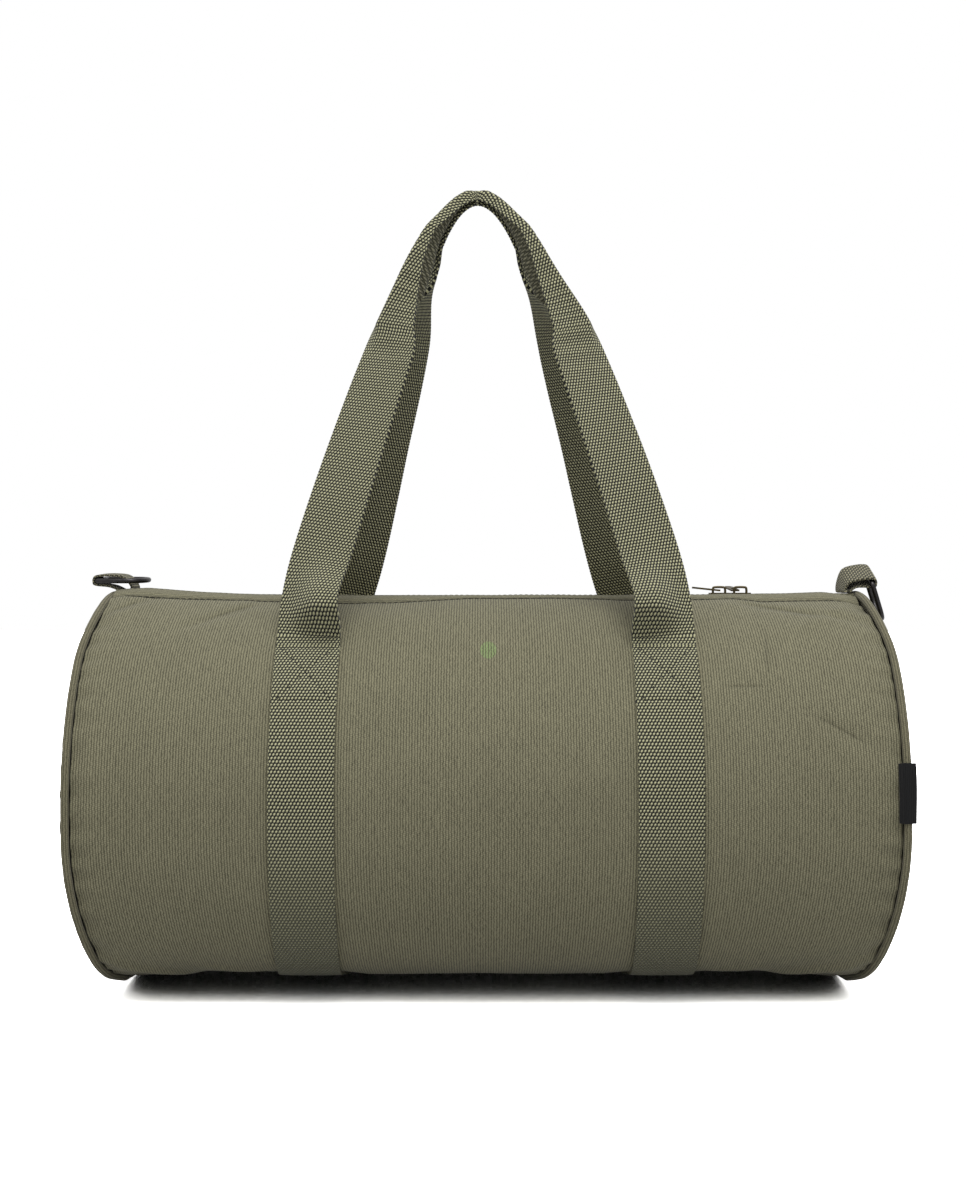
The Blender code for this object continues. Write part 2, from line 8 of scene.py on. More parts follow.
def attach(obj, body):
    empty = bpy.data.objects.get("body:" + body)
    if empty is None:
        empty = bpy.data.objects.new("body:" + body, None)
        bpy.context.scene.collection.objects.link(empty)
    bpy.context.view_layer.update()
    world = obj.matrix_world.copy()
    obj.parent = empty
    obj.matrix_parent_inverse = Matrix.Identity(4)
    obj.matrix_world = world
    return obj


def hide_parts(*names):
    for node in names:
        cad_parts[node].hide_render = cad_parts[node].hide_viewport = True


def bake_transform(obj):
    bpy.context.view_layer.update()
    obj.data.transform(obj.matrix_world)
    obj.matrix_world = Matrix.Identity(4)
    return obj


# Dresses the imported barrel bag: canvas, webbing, piping, zip, rings, tag, stitching, floor and light.
# Metres, +Z up, the front faces -Y.
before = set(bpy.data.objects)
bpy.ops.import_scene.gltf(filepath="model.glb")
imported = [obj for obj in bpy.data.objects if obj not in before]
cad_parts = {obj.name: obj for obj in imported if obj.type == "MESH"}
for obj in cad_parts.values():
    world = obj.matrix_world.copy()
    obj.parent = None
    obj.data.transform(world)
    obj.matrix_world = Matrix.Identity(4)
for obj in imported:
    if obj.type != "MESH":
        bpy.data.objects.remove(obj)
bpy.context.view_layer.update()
print("frame loaded", len(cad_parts), "nodes")

bothSides = ((-1, "left"), (1, "right"))
cameraPlace = Vector((-0.0016, -1.075, 0.242))  # the handles are folded as they are seen from here

# The bag's own sizes, the same as in the part
bagShape = {
    "halfLength": 0.2412,
    "halfDepth": 0.1225,
    "height": 0.2430,
    "bellyShare": 0.497,
    "underside": 0.0025,
    "basePress": 0.0030,
    "bellyPower": 2.3,
    "endTuck": 0.0155,
    "tuckHeight": 0.100,
    "tuckPower": 1.8,
    "cornerSag": 0.0036,
    "sagHeights": (0.206, 0.244),
    "bellyTuck": 0.0084,
    "bellyTuckAt": (163, 14),   # middle and width of the tuck, degrees round from the zip line
    "corners": (0.165, 0.232),  # distances from the middle between which the tuck halves
    "endGap": 0.0027,           # end seam to the canvas edge
    "seatGap": 0.0003,
    "canvasWall": 0.0016,
}
bellyHeight = bagShape["underside"] + bagShape["height"] * bagShape["bellyShare"]
upperAxis = bagShape["height"] * (1 - bagShape["bellyShare"])
lowerAxis = bagShape["height"] * bagShape["bellyShare"] + bagShape["basePress"]
seatGap = bagShape["seatGap"]


def smooth(low, high, value):
    share = min(max((value - low) / (high - low), 0.0), 1.0)
    return share * share * (3 - 2 * share)


def bump(middle, width, value):
    return math.exp(-((value - middle) / width) ** 2)


# Value at x on a line of (x, value) points
def alongLine(points, x):
    return float(np.interp(x, [p[0] for p in points], [p[1] for p in points]))


# Distance from the start to each point of a path
def lengthsAlong(points):
    lengths = [0.0]
    for before, after in zip(points, points[1:]):
        lengths.append(lengths[-1] + (after - before).length)
    return lengths


# Sine and cosine of each angle, times a radius
def arcSteps(degrees, radius=1.0):
    return [(radius * math.sin(math.radians(d)), radius * math.cos(math.radians(d))) for d in degrees]


# Section of the bag by degrees round from the zip line towards the front
def sectionLine(angle):
    turn = math.radians(angle)
    across, up = math.sin(turn), math.cos(turn)
    if up >= 0:
        return Vector((0, -bagShape["halfDepth"] * across, bellyHeight + upperAxis * up))
    power = 2 / bagShape["bellyPower"]
    wide = math.copysign(abs(across) ** power, across)
    low = max(bellyHeight - lowerAxis * abs(up) ** power, bagShape["underside"])
    return Vector((0, -bagShape["halfDepth"] * wide, low))


def sectionOut(angle):
    along = sectionLine(angle + 0.5) - sectionLine(angle - 0.5)
    return Vector((0, along.z, -along.y)).normalized()


# Distance from the middle to the end seam
def seamReach(height):
    low = max(0.0, 1 - (height - bagShape["underside"]) / bagShape["tuckHeight"])
    sag = bagShape["cornerSag"] * smooth(*bagShape["sagHeights"], height)
    return bagShape["halfLength"] - bagShape["endTuck"] * low ** bagShape["tuckPower"] - sag


# Distance round the section, for woven patterns
angleTable = np.arange(0, 360.25, 0.25)
arcTable = np.array(lengthsAlong([sectionLine(angle) for angle in angleTable]))


def arcAt(angle):
    return float(np.interp(angle, angleTable, arcTable))


def angleAt(arc):
    return float(np.interp(arc, arcTable, angleTable))


# How the loaded canvas moves off its plain section, in metres outwards
canvasForm = {
    "strapMiddle": 0.106,
    "strapHalf": 0.019,
    "strapFade": (-0.001, 0.018),
    "swell": 0.0011,
    "softNoise": 0.0010,
    "softScales": (11, 1.5),    # along the bag and round it
    "fineShare": 0.35,
    "fineScales": (34, 4),
    "puckers": 0.0007,
    "puckerTurns": (46, 2.1, 7),
    "rimTuck": 0.0016,
    "rimWidth": 0.010,
    "topFade": (13, 34),        # degrees from the zip line
    "underFade": (160, 168),
    "seamLine": [(-0.2385, 0.0030), (-0.2140, 0.0024), (-0.1860, 0.0012), (-0.1590, 0.0002), (-0.1300, -0.0010),
                 (-0.1060, -0.0020), (-0.0600, -0.0028), (-0.0100, -0.0006), (0.0600, 0.0), (0.1060, 0.0),
                 (0.1560, 0.0006), (0.1730, -0.0016), (0.1960, -0.0010), (0.2180, -0.0004), (0.2385, -0.0030)],
    "lipLine": [(-0.2385, 0.0040), (-0.2140, 0.0052), (-0.1960, 0.0036), (-0.1760, 0.0022), (-0.1440, 0.0010),
                (-0.1060, 0.0006), (0.0, 0.0), (0.1060, 0.0004), (0.1560, 0.0010), (0.1900, 0.0016),
                (0.2140, 0.0024), (0.2300, 0.0008), (0.2385, -0.0006)],
    # start and end as (x, degrees), height in metres, half width in metres
    "creases": [
        ((-0.234, 26), (-0.211, 16), -0.0016, 0.0034), ((-0.178, 31), (-0.143, 19), -0.0017, 0.0036),
        ((-0.150, 17), (-0.128, 30), 0.0009, 0.0060), ((0.226, 20), (0.186, 36), 0.0013, 0.0060),
        ((0.218, 28), (0.163, 18.5), -0.0019, 0.0036), ((0.150, 18), (0.134, 32), 0.0008, 0.0060),
        ((-0.222, 140), (-0.176, 152), 0.0022, 0.0060), ((-0.205, 158), (-0.140, 150), -0.0022, 0.0060),
        ((-0.165, 143), (-0.130, 148), 0.0012, 0.0060), ((0.222, 140), (0.176, 150), 0.0022, 0.0060),
        ((0.208, 156), (0.140, 151), -0.0020, 0.0060), ((0.160, 144), (0.132, 147), 0.0012, 0.0060),
        ((-0.080, 152), (-0.010, 149), 0.0008, 0.0050), ((0.010, 151), (0.084, 153), 0.0008, 0.0050),
        ((-0.226, 340), (-0.180, 326), 0.0014, 0.0055), ((0.226, 340), (0.186, 324), 0.0013, 0.0060),
        ((-0.222, 220), (-0.176, 208), 0.0022, 0.0060), ((0.222, 220), (0.176, 208), 0.0022, 0.0060),
        ((-0.205, 202), (-0.140, 210), -0.0022, 0.0060), ((0.208, 204), (0.140, 209), -0.0020, 0.0060),
        ((-0.190, 300), (-0.130, 318), 0.0010, 0.0080), ((0.040, 318), (0.092, 296), 0.0010, 0.0080),
        ((0.192, 66), (0.2210, 73), -0.0014, 0.0040),
    ],
}


def creaseLift(x, angle):
    lift = 0.0
    scale = math.pi / 180 * bagShape["halfDepth"]
    for (x0, a0), (x1, a1), height, half in canvasForm["creases"]:
        dx, da = x1 - x0, (a1 - a0) * scale
        px, pa = x - x0, (angle - a0) * scale
        share = (px * dx + pa * da) / (dx * dx + da * da)
        off = (px * da - pa * dx) / math.hypot(dx, da)
        if -0.4 < share < 1.4 and abs(off) < half * 3:
            lift += height * smooth(-0.35, 0.15, share) * (1 - smooth(0.8, 1.35, share)) * bump(0, half, off)
    return lift


def canvasLift(x, angle):
    form = canvasForm
    turn, fromTop = math.radians(angle), min(angle, 360 - angle)
    free = smooth(*form["strapFade"], abs(abs(x) - form["strapMiddle"]) - form["strapHalf"])
    edge = seamReach(sectionLine(angle).z) - abs(x)

    def cloud(scales, shift):
        return noise.noise(Vector((x * scales[0] + shift, math.cos(turn) * scales[1], math.sin(turn) * scales[1])))

    soft = cloud(form["softScales"], 0) + form["fineShare"] * cloud(form["fineScales"], 9)
    lift = form["softNoise"] * soft * free
    lift += form["swell"] * free * math.cos(min(abs(x) / form["strapMiddle"], 1.0) * math.pi / 2)
    lift += creaseLift(x, angle) * free
    turns, sway, swayTurns = form["puckerTurns"]
    ripple = math.sin(turn * turns + sway * math.sin(turn * swayTurns))
    lift += form["puckers"] * ripple * bump(0.004, form["rimWidth"], edge)
    lift -= form["rimTuck"] * (1 - smooth(0.0, form["rimWidth"], edge - bagShape["endGap"]))
    top = 1 - smooth(*form["topFade"], fromTop)
    if top > 0:
        lift += alongLine(form["seamLine"], x) * top * (1.0 if angle < 180 else 0.5)
    if lift > 0:
        lift *= 1 - smooth(*form["underFade"], fromTop)
    return lift


# A point on the bag, by degrees round, metres out from the plain section and metres along
def skinPoint(angle, lift, x=0.0):
    tuck = bagShape["bellyTuck"] * bump(*bagShape["bellyTuckAt"], min(angle % 360, -angle % 360))
    lift -= tuck * (1 - 0.5 * smooth(*bagShape["corners"], abs(x)))
    point = sectionLine(angle) + sectionOut(angle) * lift
    return Vector((x, point.y, max(point.z, 0.0004)))


# Mesh helpers

def selectOnly(piece=None):
    for item in bpy.context.selected_objects:
        item.select_set(False)
    if piece:
        piece.select_set(True)
        bpy.context.view_layer.objects.active = piece


def inEditMode(piece, work):
    selectOnly(piece)
    bpy.ops.object.mode_set(mode="EDIT")
    bpy.ops.mesh.select_all(action="SELECT")
    work()
    bpy.ops.object.mode_set(mode="OBJECT")


def meshPiece(name, points, faces):
    mesh = bpy.data.meshes.new(name)
    mesh.from_pydata(points, [], faces)
    mesh.update()
    piece = bpy.data.objects.new(name, mesh)
    bpy.context.scene.collection.objects.link(piece)
    inEditMode(piece, lambda: bpy.ops.mesh.normals_make_consistent(inside=False))
    return piece


def finishPiece(piece, material, body=None, nodes=(), turn=30):
    piece.data.materials.clear()
    piece.data.materials.append(material)
    piece.data.shade_smooth()
    piece.data.set_sharp_from_angle(angle=math.radians(turn))
    if nodes:
        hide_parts(*nodes)
    if body:
        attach(piece, body)
    return piece


# A sheet of cloth laid by place(u, v), u across and v along from 0 to 1. Its UV map is in metres.
def clothGrid(name, columns, rows, place, wall, size, outward, offset=-1):
    selectOnly()
    bpy.ops.mesh.primitive_grid_add(x_subdivisions=columns, y_subdivisions=rows, size=1)
    piece = bpy.context.object
    mesh = piece.data
    piece.name = mesh.name = name
    flat = np.empty(len(mesh.vertices) * 3)
    mesh.vertices.foreach_get("co", flat)
    points = [place(float(u), float(v)) for u, v in flat.reshape(-1, 3)[:, :2] + 0.5]
    mesh.vertices.foreach_set("co", np.array(points).ravel())
    layer = mesh.uv_layers[0]
    layer.name = "weave"
    flat = np.empty(len(layer.data) * 2)
    layer.data.foreach_get("uv", flat)
    layer.data.foreach_set("uv", (flat.reshape(-1, 2) * np.array(size)).ravel())
    mesh.update()
    facing = sum(polygon.normal.dot(outward(polygon.center)) for polygon in list(mesh.polygons)[::37])
    if facing < 0:
        inEditMode(piece, bpy.ops.mesh.flip_normals)
    solid = piece.modifiers.new("wall", "SOLIDIFY")
    solid.thickness = wall
    solid.offset = offset
    selectOnly(piece)
    bpy.ops.object.modifier_apply(modifier=solid.name)
    return piece


def awayFromAxis(point):
    return Vector((0, point.y, point.z - bellyHeight))


# A closed section carried along rings of points, with a UV map in metres
def loftPiece(name, rings, closed=False):
    count, sides = len(rings), len(rings[0])
    faces = []
    for row in range(count if closed else count - 1):
        after = (row + 1) % count
        for step in range(sides):
            other = (step + 1) % sides
            faces.append((row * sides + step, row * sides + other, after * sides + other, after * sides + step))
    if not closed:
        faces.append(tuple(reversed(range(sides))))
        faces.append(tuple((count - 1) * sides + step for step in range(sides)))
    piece = meshPiece(name, [point for ring in rings for point in ring], faces)
    mesh = piece.data
    around = lengthsAlong(rings[0] + rings[0][:1])
    along = lengthsAlong([ring[0] for ring in rings + rings[:1]])
    layer = mesh.uv_layers.new(name="weave")
    for polygon in mesh.polygons:
        spots = [divmod(mesh.loops[loop].vertex_index, sides) for loop in polygon.loop_indices]
        wrapRow = closed and max(s[0] for s in spots) - min(s[0] for s in spots) > 1
        wrapStep = len(spots) == 4 and max(s[1] for s in spots) - min(s[1] for s in spots) > 1
        for loop, (row, step) in zip(polygon.loop_indices, spots):
            row += count if wrapRow and row == 0 else 0
            step += sides if wrapStep and step == 0 else 0
            layer.data[loop].uv = (around[step], along[row])
    return piece


# A round wire along a closed flat path of points
def wirePiece(name, path, radius, sides):
    count = len(path)
    side = (path[1] - path[0]).cross(path[count // 2] - path[0]).normalized()
    rings = []
    for index, point in enumerate(path):
        along = (path[(index + 1) % count] - path[index - 1]).normalized()
        across = (side - along * side.dot(along)).normalized()
        lift = along.cross(across)
        turns = [2 * math.pi * step / sides for step in range(sides)]
        rings.append([point + (across * math.cos(turn) + lift * math.sin(turn)) * radius for turn in turns])
    return loftPiece(name, rings, closed=True)


# The point of a path that a distance along it falls before, and how far between the two it lies
def spanAt(lengths, distance):
    after = min(max(int(np.searchsorted(lengths, distance)), 1), len(lengths) - 1)
    return after, (distance - lengths[after - 1]) / max(lengths[after] - lengths[after - 1], 1e-9)


# One stitch is modelled once, then copied along paths of (point, outwards)
boxStitch = {"length": 0.0026, "gap": 0.0016, "radius": 0.00052}
facingStitch = {"length": 0.0024, "gap": 0.0010, "radius": 0.0003}
# Along the zip seams the stitches overlap into one dark cord: a painted shadow of the seam's groove
seamShadowCord = {"length": 0.0042, "gap": -0.0003, "radius": 0.0007}


def stitchTemplate():
    selectOnly()
    bpy.ops.mesh.primitive_uv_sphere_add(segments=6, ring_count=4, radius=1)
    template = bpy.context.object
    points = np.array([vertex.co for vertex in template.data.vertices])
    faces = [tuple(polygon.vertices) for polygon in template.data.polygons]
    bpy.data.objects.remove(template)
    return points, faces


stitchPoints, stitchFaces = stitchTemplate()


def stitchRow(name, paths, material, form):
    length, radius = form["length"], form["radius"]
    vertices, faces = [], []
    for path in paths:
        lengths = lengthsAlong([point for point, _ in path])
        count = int(lengths[-1] / (length + form["gap"]))
        for index in range(count):
            place, share = spanAt(lengths, (index + 0.5) * lengths[-1] / count)
            before, after = path[place - 1], path[place]
            point = before[0].lerp(after[0], share)
            along = (after[0] - before[0]).normalized()
            out = before[1].lerp(after[1], share)
            out = (out - along * out.dot(along)).normalized()
            across = along.cross(out)
            base = len(vertices)
            for x, y, z in stitchPoints:
                vertices.append(point + along * (z * length / 2) + across * (x * radius) + out * (y * radius * 0.8))
            faces += [tuple(base + vertex for vertex in face) for face in stitchFaces]
    return finishPiece(meshPiece(name, vertices, faces), material, "bag", turn=180)


# Node helpers: a value is a number, a colour or another node's output

def feed(socket, value):
    if isinstance(value, bpy.types.NodeSocket):
        socket.id_data.links.new(value, socket)
    else:
        socket.default_value = value


def newNode(tree, kind, inputs=None):
    node = tree.nodes.new("ShaderNode" + kind)
    for label, value in (inputs or {}).items():
        feed(node.inputs[label], value)
    return node


def treeOf(*values):
    return next(value.id_data for value in values if isinstance(value, bpy.types.NodeSocket))


def maths(operation, *values, clamp=False):
    node = newNode(treeOf(*values), "Math", dict(enumerate(values)))
    node.operation = operation
    node.use_clamp = clamp
    return node.outputs[0]


def add(one, two):
    return maths("ADD", one, two)


def subtract(one, two, clamp=False):
    return maths("SUBTRACT", one, two, clamp=clamp)


def multiply(one, two, clamp=False):
    return maths("MULTIPLY", one, two, clamp=clamp)


def divide(one, two, clamp=False):
    return maths("DIVIDE", one, two, clamp=clamp)


def hypotenuse(one, two):
    return maths("SQRT", add(maths("POWER", one, 2.0), maths("POWER", two, 2.0)))


def splitVector(vector):
    return newNode(vector.id_data, "SeparateXYZ", {0: vector}).outputs


def stretchedNoise(vector, scale, detail=2.0, rough=0.5):
    mapping = newNode(vector.id_data, "Mapping", {"Vector": vector, "Scale": scale})
    texture = newNode(vector.id_data, "TexNoise", {"Vector": mapping.outputs[0], "Scale": 1.0, "Detail": detail,
                                                   "Roughness": rough})
    return texture.outputs["Fac"]


def mixColours(factor, first, second, blend="MIX"):
    mix = newNode(treeOf(factor, first, second), "Mix")
    mix.data_type = "RGBA"
    mix.blend_type = blend
    for index, value in ((0, factor), (6, first), (7, second)):
        feed(mix.inputs[index], value)
    return mix.outputs[2]


def grey(value):
    return newNode(value.id_data, "CombineColor", {0: value, 1: value, 2: value}).outputs[0]


# Each group has a vector input, inputs with their first values, and outputs that are numbers
def groupTree(name, inputs, outputs):
    tree = bpy.data.node_groups.new(name, "ShaderNodeTree")
    tree.interface.new_socket("Vector", in_out="INPUT", socket_type="NodeSocketVector")
    for label, value in inputs.items():
        tree.interface.new_socket(label, in_out="INPUT", socket_type="NodeSocketFloat").default_value = value
    for label in outputs:
        tree.interface.new_socket(label, in_out="OUTPUT", socket_type="NodeSocketFloat")
    return tree, tree.nodes.new("NodeGroupInput").outputs, tree.nodes.new("NodeGroupOutput").inputs


def groupNode(group, vector, inputs):
    node = newNode(vector.id_data, "Group")
    node.node_tree = group
    for label, value in dict(inputs, Vector=vector).items():
        feed(node.inputs[label], value)
    return node.outputs


# Half a step for every second whole number
def staggered(value):
    return multiply(maths("MODULO", maths("ABSOLUTE", maths("FLOOR", value)), 2.0), 0.5)


beadForm = {"wander": 0.3, "slant": 0.35, "halfWidth": 0.43, "halfHeight": 0.48, "fullness": 0.7, "plyTurns": 9.0}
cordForm = {"wanderScale": (640, 520, 1), "wander": 0.9, "pass": 0.66}


# Coarse webbing: staggered rows of short slanting beads
def makeBeadGroup():
    form = beadForm
    tree, given, out = groupTree("webbingBeads", {"Across": 0.0023, "Row": 0.00105}, ("Bead", "Height", "Ply"))
    u, v, _ = splitVector(given["Vector"])
    x = divide(u, given["Across"])
    wander = stretchedNoise(given["Vector"], (160, 160, 1), 1)
    y = add(divide(v, given["Row"]), multiply(wander, form["wander"]))
    fx = subtract(maths("FRACT", add(x, staggered(y))), 0.5)
    fy = subtract(maths("FRACT", y), 0.5)
    slanted = add(fy, multiply(fx, form["slant"]))
    wide = maths("POWER", divide(fx, form["halfWidth"]), 2.0)
    tall = maths("POWER", divide(slanted, form["halfHeight"]), 2.0)
    bead = subtract(1.0, add(wide, tall), clamp=True)
    feed(out["Bead"], maths("POWER", bead, form["fullness"]))
    feed(out["Height"], maths("SQRT", bead))
    feed(out["Ply"], maths("SINE", multiply(add(x, y), form["plyTurns"])))
    return tree


# Duck canvas: uneven upright cords that pass over and under the weft, neighbours by turns
def makeWeaveGroup():
    tree, given, out = groupTree("duckWeave", {"Pitch": 0.0008}, ("Height",))
    u, v, _ = splitVector(given["Vector"])
    wander = subtract(stretchedNoise(given["Vector"], cordForm["wanderScale"], 2), 0.5)
    x = add(divide(u, given["Pitch"]), multiply(wander, cordForm["wander"]))
    y = add(divide(divide(v, given["Pitch"]), cordForm["pass"]), staggered(x))
    cord = maths("ABSOLUTE", maths("SINE", multiply(x, math.pi)))
    over = maths("ABSOLUTE", maths("SINE", multiply(y, math.pi)))
    feed(out["Height"], multiply(cord, add(0.5, multiply(over, 0.5))))
    return tree


# Slubs, streaks and blotches of dyed cloth, as a factor near 1
def makeToneGroup():
    tree, given, out = groupTree("clothTone", {"Streaks": 0.2, "Blotches": 0.12}, ("Tone",))
    long, cross, grain, cloud = (
        subtract(stretchedNoise(given["Vector"], scale, detail, rough), 0.5)
        for scale, detail, rough in (((900, 120, 1), 2, 0.5), ((60, 900, 1), 1, 0.5), ((1500, 1500, 1), 1, 0.5),
                                     ((22, 22, 1), 4, 0.6)))
    streak = add(add(long, multiply(cross, 0.4)), grain)
    tone = add(add(1.0, multiply(streak, given["Streaks"])), multiply(cloud, given["Blotches"]))
    feed(out["Tone"], tone)
    return tree


beadGroup, weaveGroup, toneGroup = makeBeadGroup(), makeWeaveGroup(), makeToneGroup()


# Materials

def colour(*levels):
    return tuple(((v / 255 + 0.055) / 1.055) ** 2.4 if v > 10 else v / 255 / 12.92 for v in levels) + (1,)


def newMaterial(name, inputs):
    material = bpy.data.materials.new(name)
    material.use_nodes = True
    shader = material.node_tree.nodes["Principled BSDF"]
    for label, value in inputs.items():
        feed(shader.inputs[label], value)
    return material, material.node_tree, shader


# Colour and relief go to the shader last
def finishShader(shader, base, height, relief, strength=1.0):
    raised = newNode(shader.id_data, "Bump", {"Height": height, "Distance": relief, "Strength": strength})
    feed(shader.inputs["Base Color"], base)
    feed(shader.inputs["Normal"], raised.outputs[0])


def clothMaterial(name, look):
    material, tree, shader = newMaterial(name, {"Roughness": look["roughness"], "Sheen Weight": look["sheen"],
                                                "Sheen Roughness": 0.5, "Specular IOR Level": look["specular"]})
    woven = newNode(tree, "UVMap")
    woven.uv_map = "weave"
    vector = woven.outputs[0]
    tone = groupNode(toneGroup, vector, {"Streaks": look["streaks"], "Blotches": look["blotches"]})["Tone"]
    return material, shader, vector, tone


def objectPlace(tree):
    return newNode(tree, "TexCoord").outputs["Object"]


canvasLook = {
    "thread": colour(143, 139, 113),
    "between": colour(66, 64, 50),
    "pitch": 0.00165,
    "streaks": 0.35,
    "blotches": 0.16,
    "roughness": 0.93,
    "sheen": 0.12,
    "specular": 0.25,
    "relief": 0.00022,
    "reliefStrength": 0.8,
}
frontLook = {
    "mark": colour(146, 166, 112),
    "markPlace": (0.0013, 0.2123),
    "markRadius": 0.0052,
    "markEdge": 0.0006,
    "markStrength": 0.85,
    # thin creases, as x and z of both ends; their colour is darkened with painted shade and their relief dented
    "pressLines": [((0.1690, 0.2286), (0.1645, 0.1950)), ((0.1390, 0.1914), (0.1640, 0.1914)),
                   ((0.1600, 0.2398), (0.2060, 0.2316)), ((0.1920, 0.1743), (0.2198, 0.1585)),
                   ((-0.2338, 0.2340), (-0.2140, 0.2412)), ((-0.1718, 0.2298), (-0.1435, 0.2389))],
    "pressWidth": 0.0020,
    "paintedCreaseShade": 0.28,
    "pressDent": 3.0,
}


def pressMask(x, z, look):
    total = 0.0
    for (x0, z0), (x1, z1) in look["pressLines"]:
        dx, dz = x1 - x0, z1 - z0
        px, pz = subtract(x, x0), subtract(z, z0)
        share = divide(add(multiply(px, dx), multiply(pz, dz)), dx * dx + dz * dz, clamp=True)
        away = hypotenuse(subtract(px, multiply(share, dx)), subtract(pz, multiply(share, dz)))
        near = subtract(1.0, divide(away, look["pressWidth"]), clamp=True)
        ends = multiply(multiply(share, subtract(1.0, share)), 5.0, clamp=True)
        total = add(total, multiply(maths("POWER", near, 1.5), ends))
    return total


def makeCanvas(name, look, marks=None):
    material, shader, vector, tone = clothMaterial(name, look)
    weave = groupNode(weaveGroup, vector, {"Pitch": look["pitch"]})["Height"]
    base = mixColours(weave, look["between"], look["thread"])
    base = mixColours(1.0, base, grey(tone), "MULTIPLY")
    height = weave
    if marks:
        x, y, z = splitVector(objectPlace(material.node_tree))
        front = maths("LESS_THAN", y, 0.0)
        away = hypotenuse(subtract(x, marks["markPlace"][0]), subtract(z, marks["markPlace"][1]))
        inside = divide(subtract(marks["markRadius"], away), marks["markEdge"], clamp=True)
        printed = mixColours(weave, look["between"], marks["mark"])
        base = mixColours(multiply(multiply(inside, front), marks["markStrength"]), base, printed)
        press = multiply(pressMask(x, z, marks), front)
        # Painted shade darkens the canvas along the creases; the dent in the relief is real
        base = mixColours(multiply(press, marks["paintedCreaseShade"]), base, look["between"])
        height = subtract(height, multiply(press, marks["pressDent"]))
    finishShader(shader, base, height, look["relief"], look["reliefStrength"])
    return material


webbingLook = {
    # the bead colour is partly painted highlight on the beads' tops, and the near-black ground partly painted shade
    # in the gaps between beads
    "bead": colour(206, 204, 162),
    "groundAndGapShade": colour(8, 9, 5),
    # below this height the webbing fades to one flat darker tone: painted shade of the dim, flat light low on the bag
    "paintedLowShade": colour(98, 97, 76),
    "paintedLowShadeBelow": 0.120,
    "paintedLowShadeOver": 0.10,
    "paintedLowShadeStrength": 0.85,
    "across": 0.00208,
    "row": 0.00197,
    "ply": 0.07,
    "streaks": 0.25,
    "blotches": 0.22,
    "roughness": 0.82,
    "sheen": 0.15,
    "specular": 0.3,
    "relief": 0.0013,
}


def makeWebbing(name, look):
    material, shader, vector, tone = clothMaterial(name, look)
    beads = groupNode(beadGroup, vector, {"Across": look["across"], "Row": look["row"]})
    base = mixColours(beads["Bead"], look["groundAndGapShade"], look["bead"])
    height = splitVector(objectPlace(material.node_tree))[2]
    # Painted shade: low down the webbing fades to one flat darker tone
    paintedLowShade = divide(subtract(look["paintedLowShadeBelow"], height), look["paintedLowShadeOver"], clamp=True)
    base = mixColours(multiply(paintedLowShade, look["paintedLowShadeStrength"]), base, look["paintedLowShade"])
    ply = add(1 - look["ply"], multiply(beads["Ply"], look["ply"]))
    base = mixColours(1.0, base, grey(multiply(tone, ply)), "MULTIPLY")
    finishShader(shader, base, beads["Height"], look["relief"])
    return material


def makeMetal(name, bright, dull, roughness):
    material, tree, shader = newMaterial(name, {"Metallic": 1.0})
    worn = stretchedNoise(objectPlace(tree), (420, 420, 420), 4, 0.65)
    fine = stretchedNoise(objectPlace(tree), (3000, 3000, 3000))
    low, high = roughness
    feed(shader.inputs["Roughness"], add(low, multiply(worn, high - low)))
    finishShader(shader, mixColours(worn, dull, bright), fine, 0.00002, 0.6)
    return material


def makeThread(name, base, dark):
    material, tree, shader = newMaterial(name, {"Roughness": 0.85})
    twist = stretchedNoise(objectPlace(tree), (2500, 2500, 2500))
    finishShader(shader, mixColours(twist, dark, base), twist, 0.00008)
    return material


canvas = makeCanvas("olive_canvas", canvasLook)
markedCanvas = makeCanvas("olive_canvas_marked", canvasLook, frontLook)
webbing = makeWebbing("olive_webbing", webbingLook)
innerWebbing = makeWebbing("olive_webbing_inner", dict(webbingLook, across=0.0060, row=0.0016,
                                                       bead=colour(156, 153, 127), groundAndGapShade=colour(78, 77, 60)))
loopWebbing = makeWebbing("olive_loop_webbing", dict(webbingLook, across=0.0040, row=0.0015,
                                                     bead=colour(166, 160, 128), groundAndGapShade=colour(56, 55, 41)))
# The piping's cover is the body canvas made darker: painted shade along the piping
pipingCanvasPaintedShade = makeCanvas("olive_piping_canvas_painted_shade", dict(canvasLook, thread=colour(130, 125, 101)))
zipTape = makeCanvas("zip_tape_twill", dict(canvasLook, thread=colour(84, 82, 62), between=colour(46, 46, 34),
                                            pitch=0.0012))
blackTape = makeCanvas("black_binding", dict(canvasLook, thread=colour(34, 34, 34), between=colour(14, 14, 14),
                                             pitch=0.0014))
ribbon = makeCanvas("black_ribbon", dict(canvasLook, thread=colour(26, 26, 27), between=colour(10, 10, 11),
                                         pitch=0.0010, streaks=0.1))
brass = makeMetal("antique_brass", colour(126, 113, 80), colour(58, 52, 38), (0.28, 0.5))
gunmetal = makeMetal("dark_gunmetal", colour(78, 76, 76), colour(44, 43, 44), (0.2, 0.42))
# Threads darker than the cloth they sew: thread colour, partly painted shade of the dents they sink into. The darkest
# also makes the zip seams' shadow cord.
thread = makeThread("olive_thread", colour(70, 70, 51), colour(38, 39, 27))
darkThreadAndSeamShadow = makeThread("dark_thread_and_seam_shadow", colour(46, 45, 33), colour(26, 26, 18))
print("materials made", len(bpy.data.materials))

for name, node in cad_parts.items():
    if name.startswith(("zip_teeth", "zip_stop", "slider", "pull_tab")):
        node.data.materials.clear()
        node.data.materials.append(brass)


# Canvas body

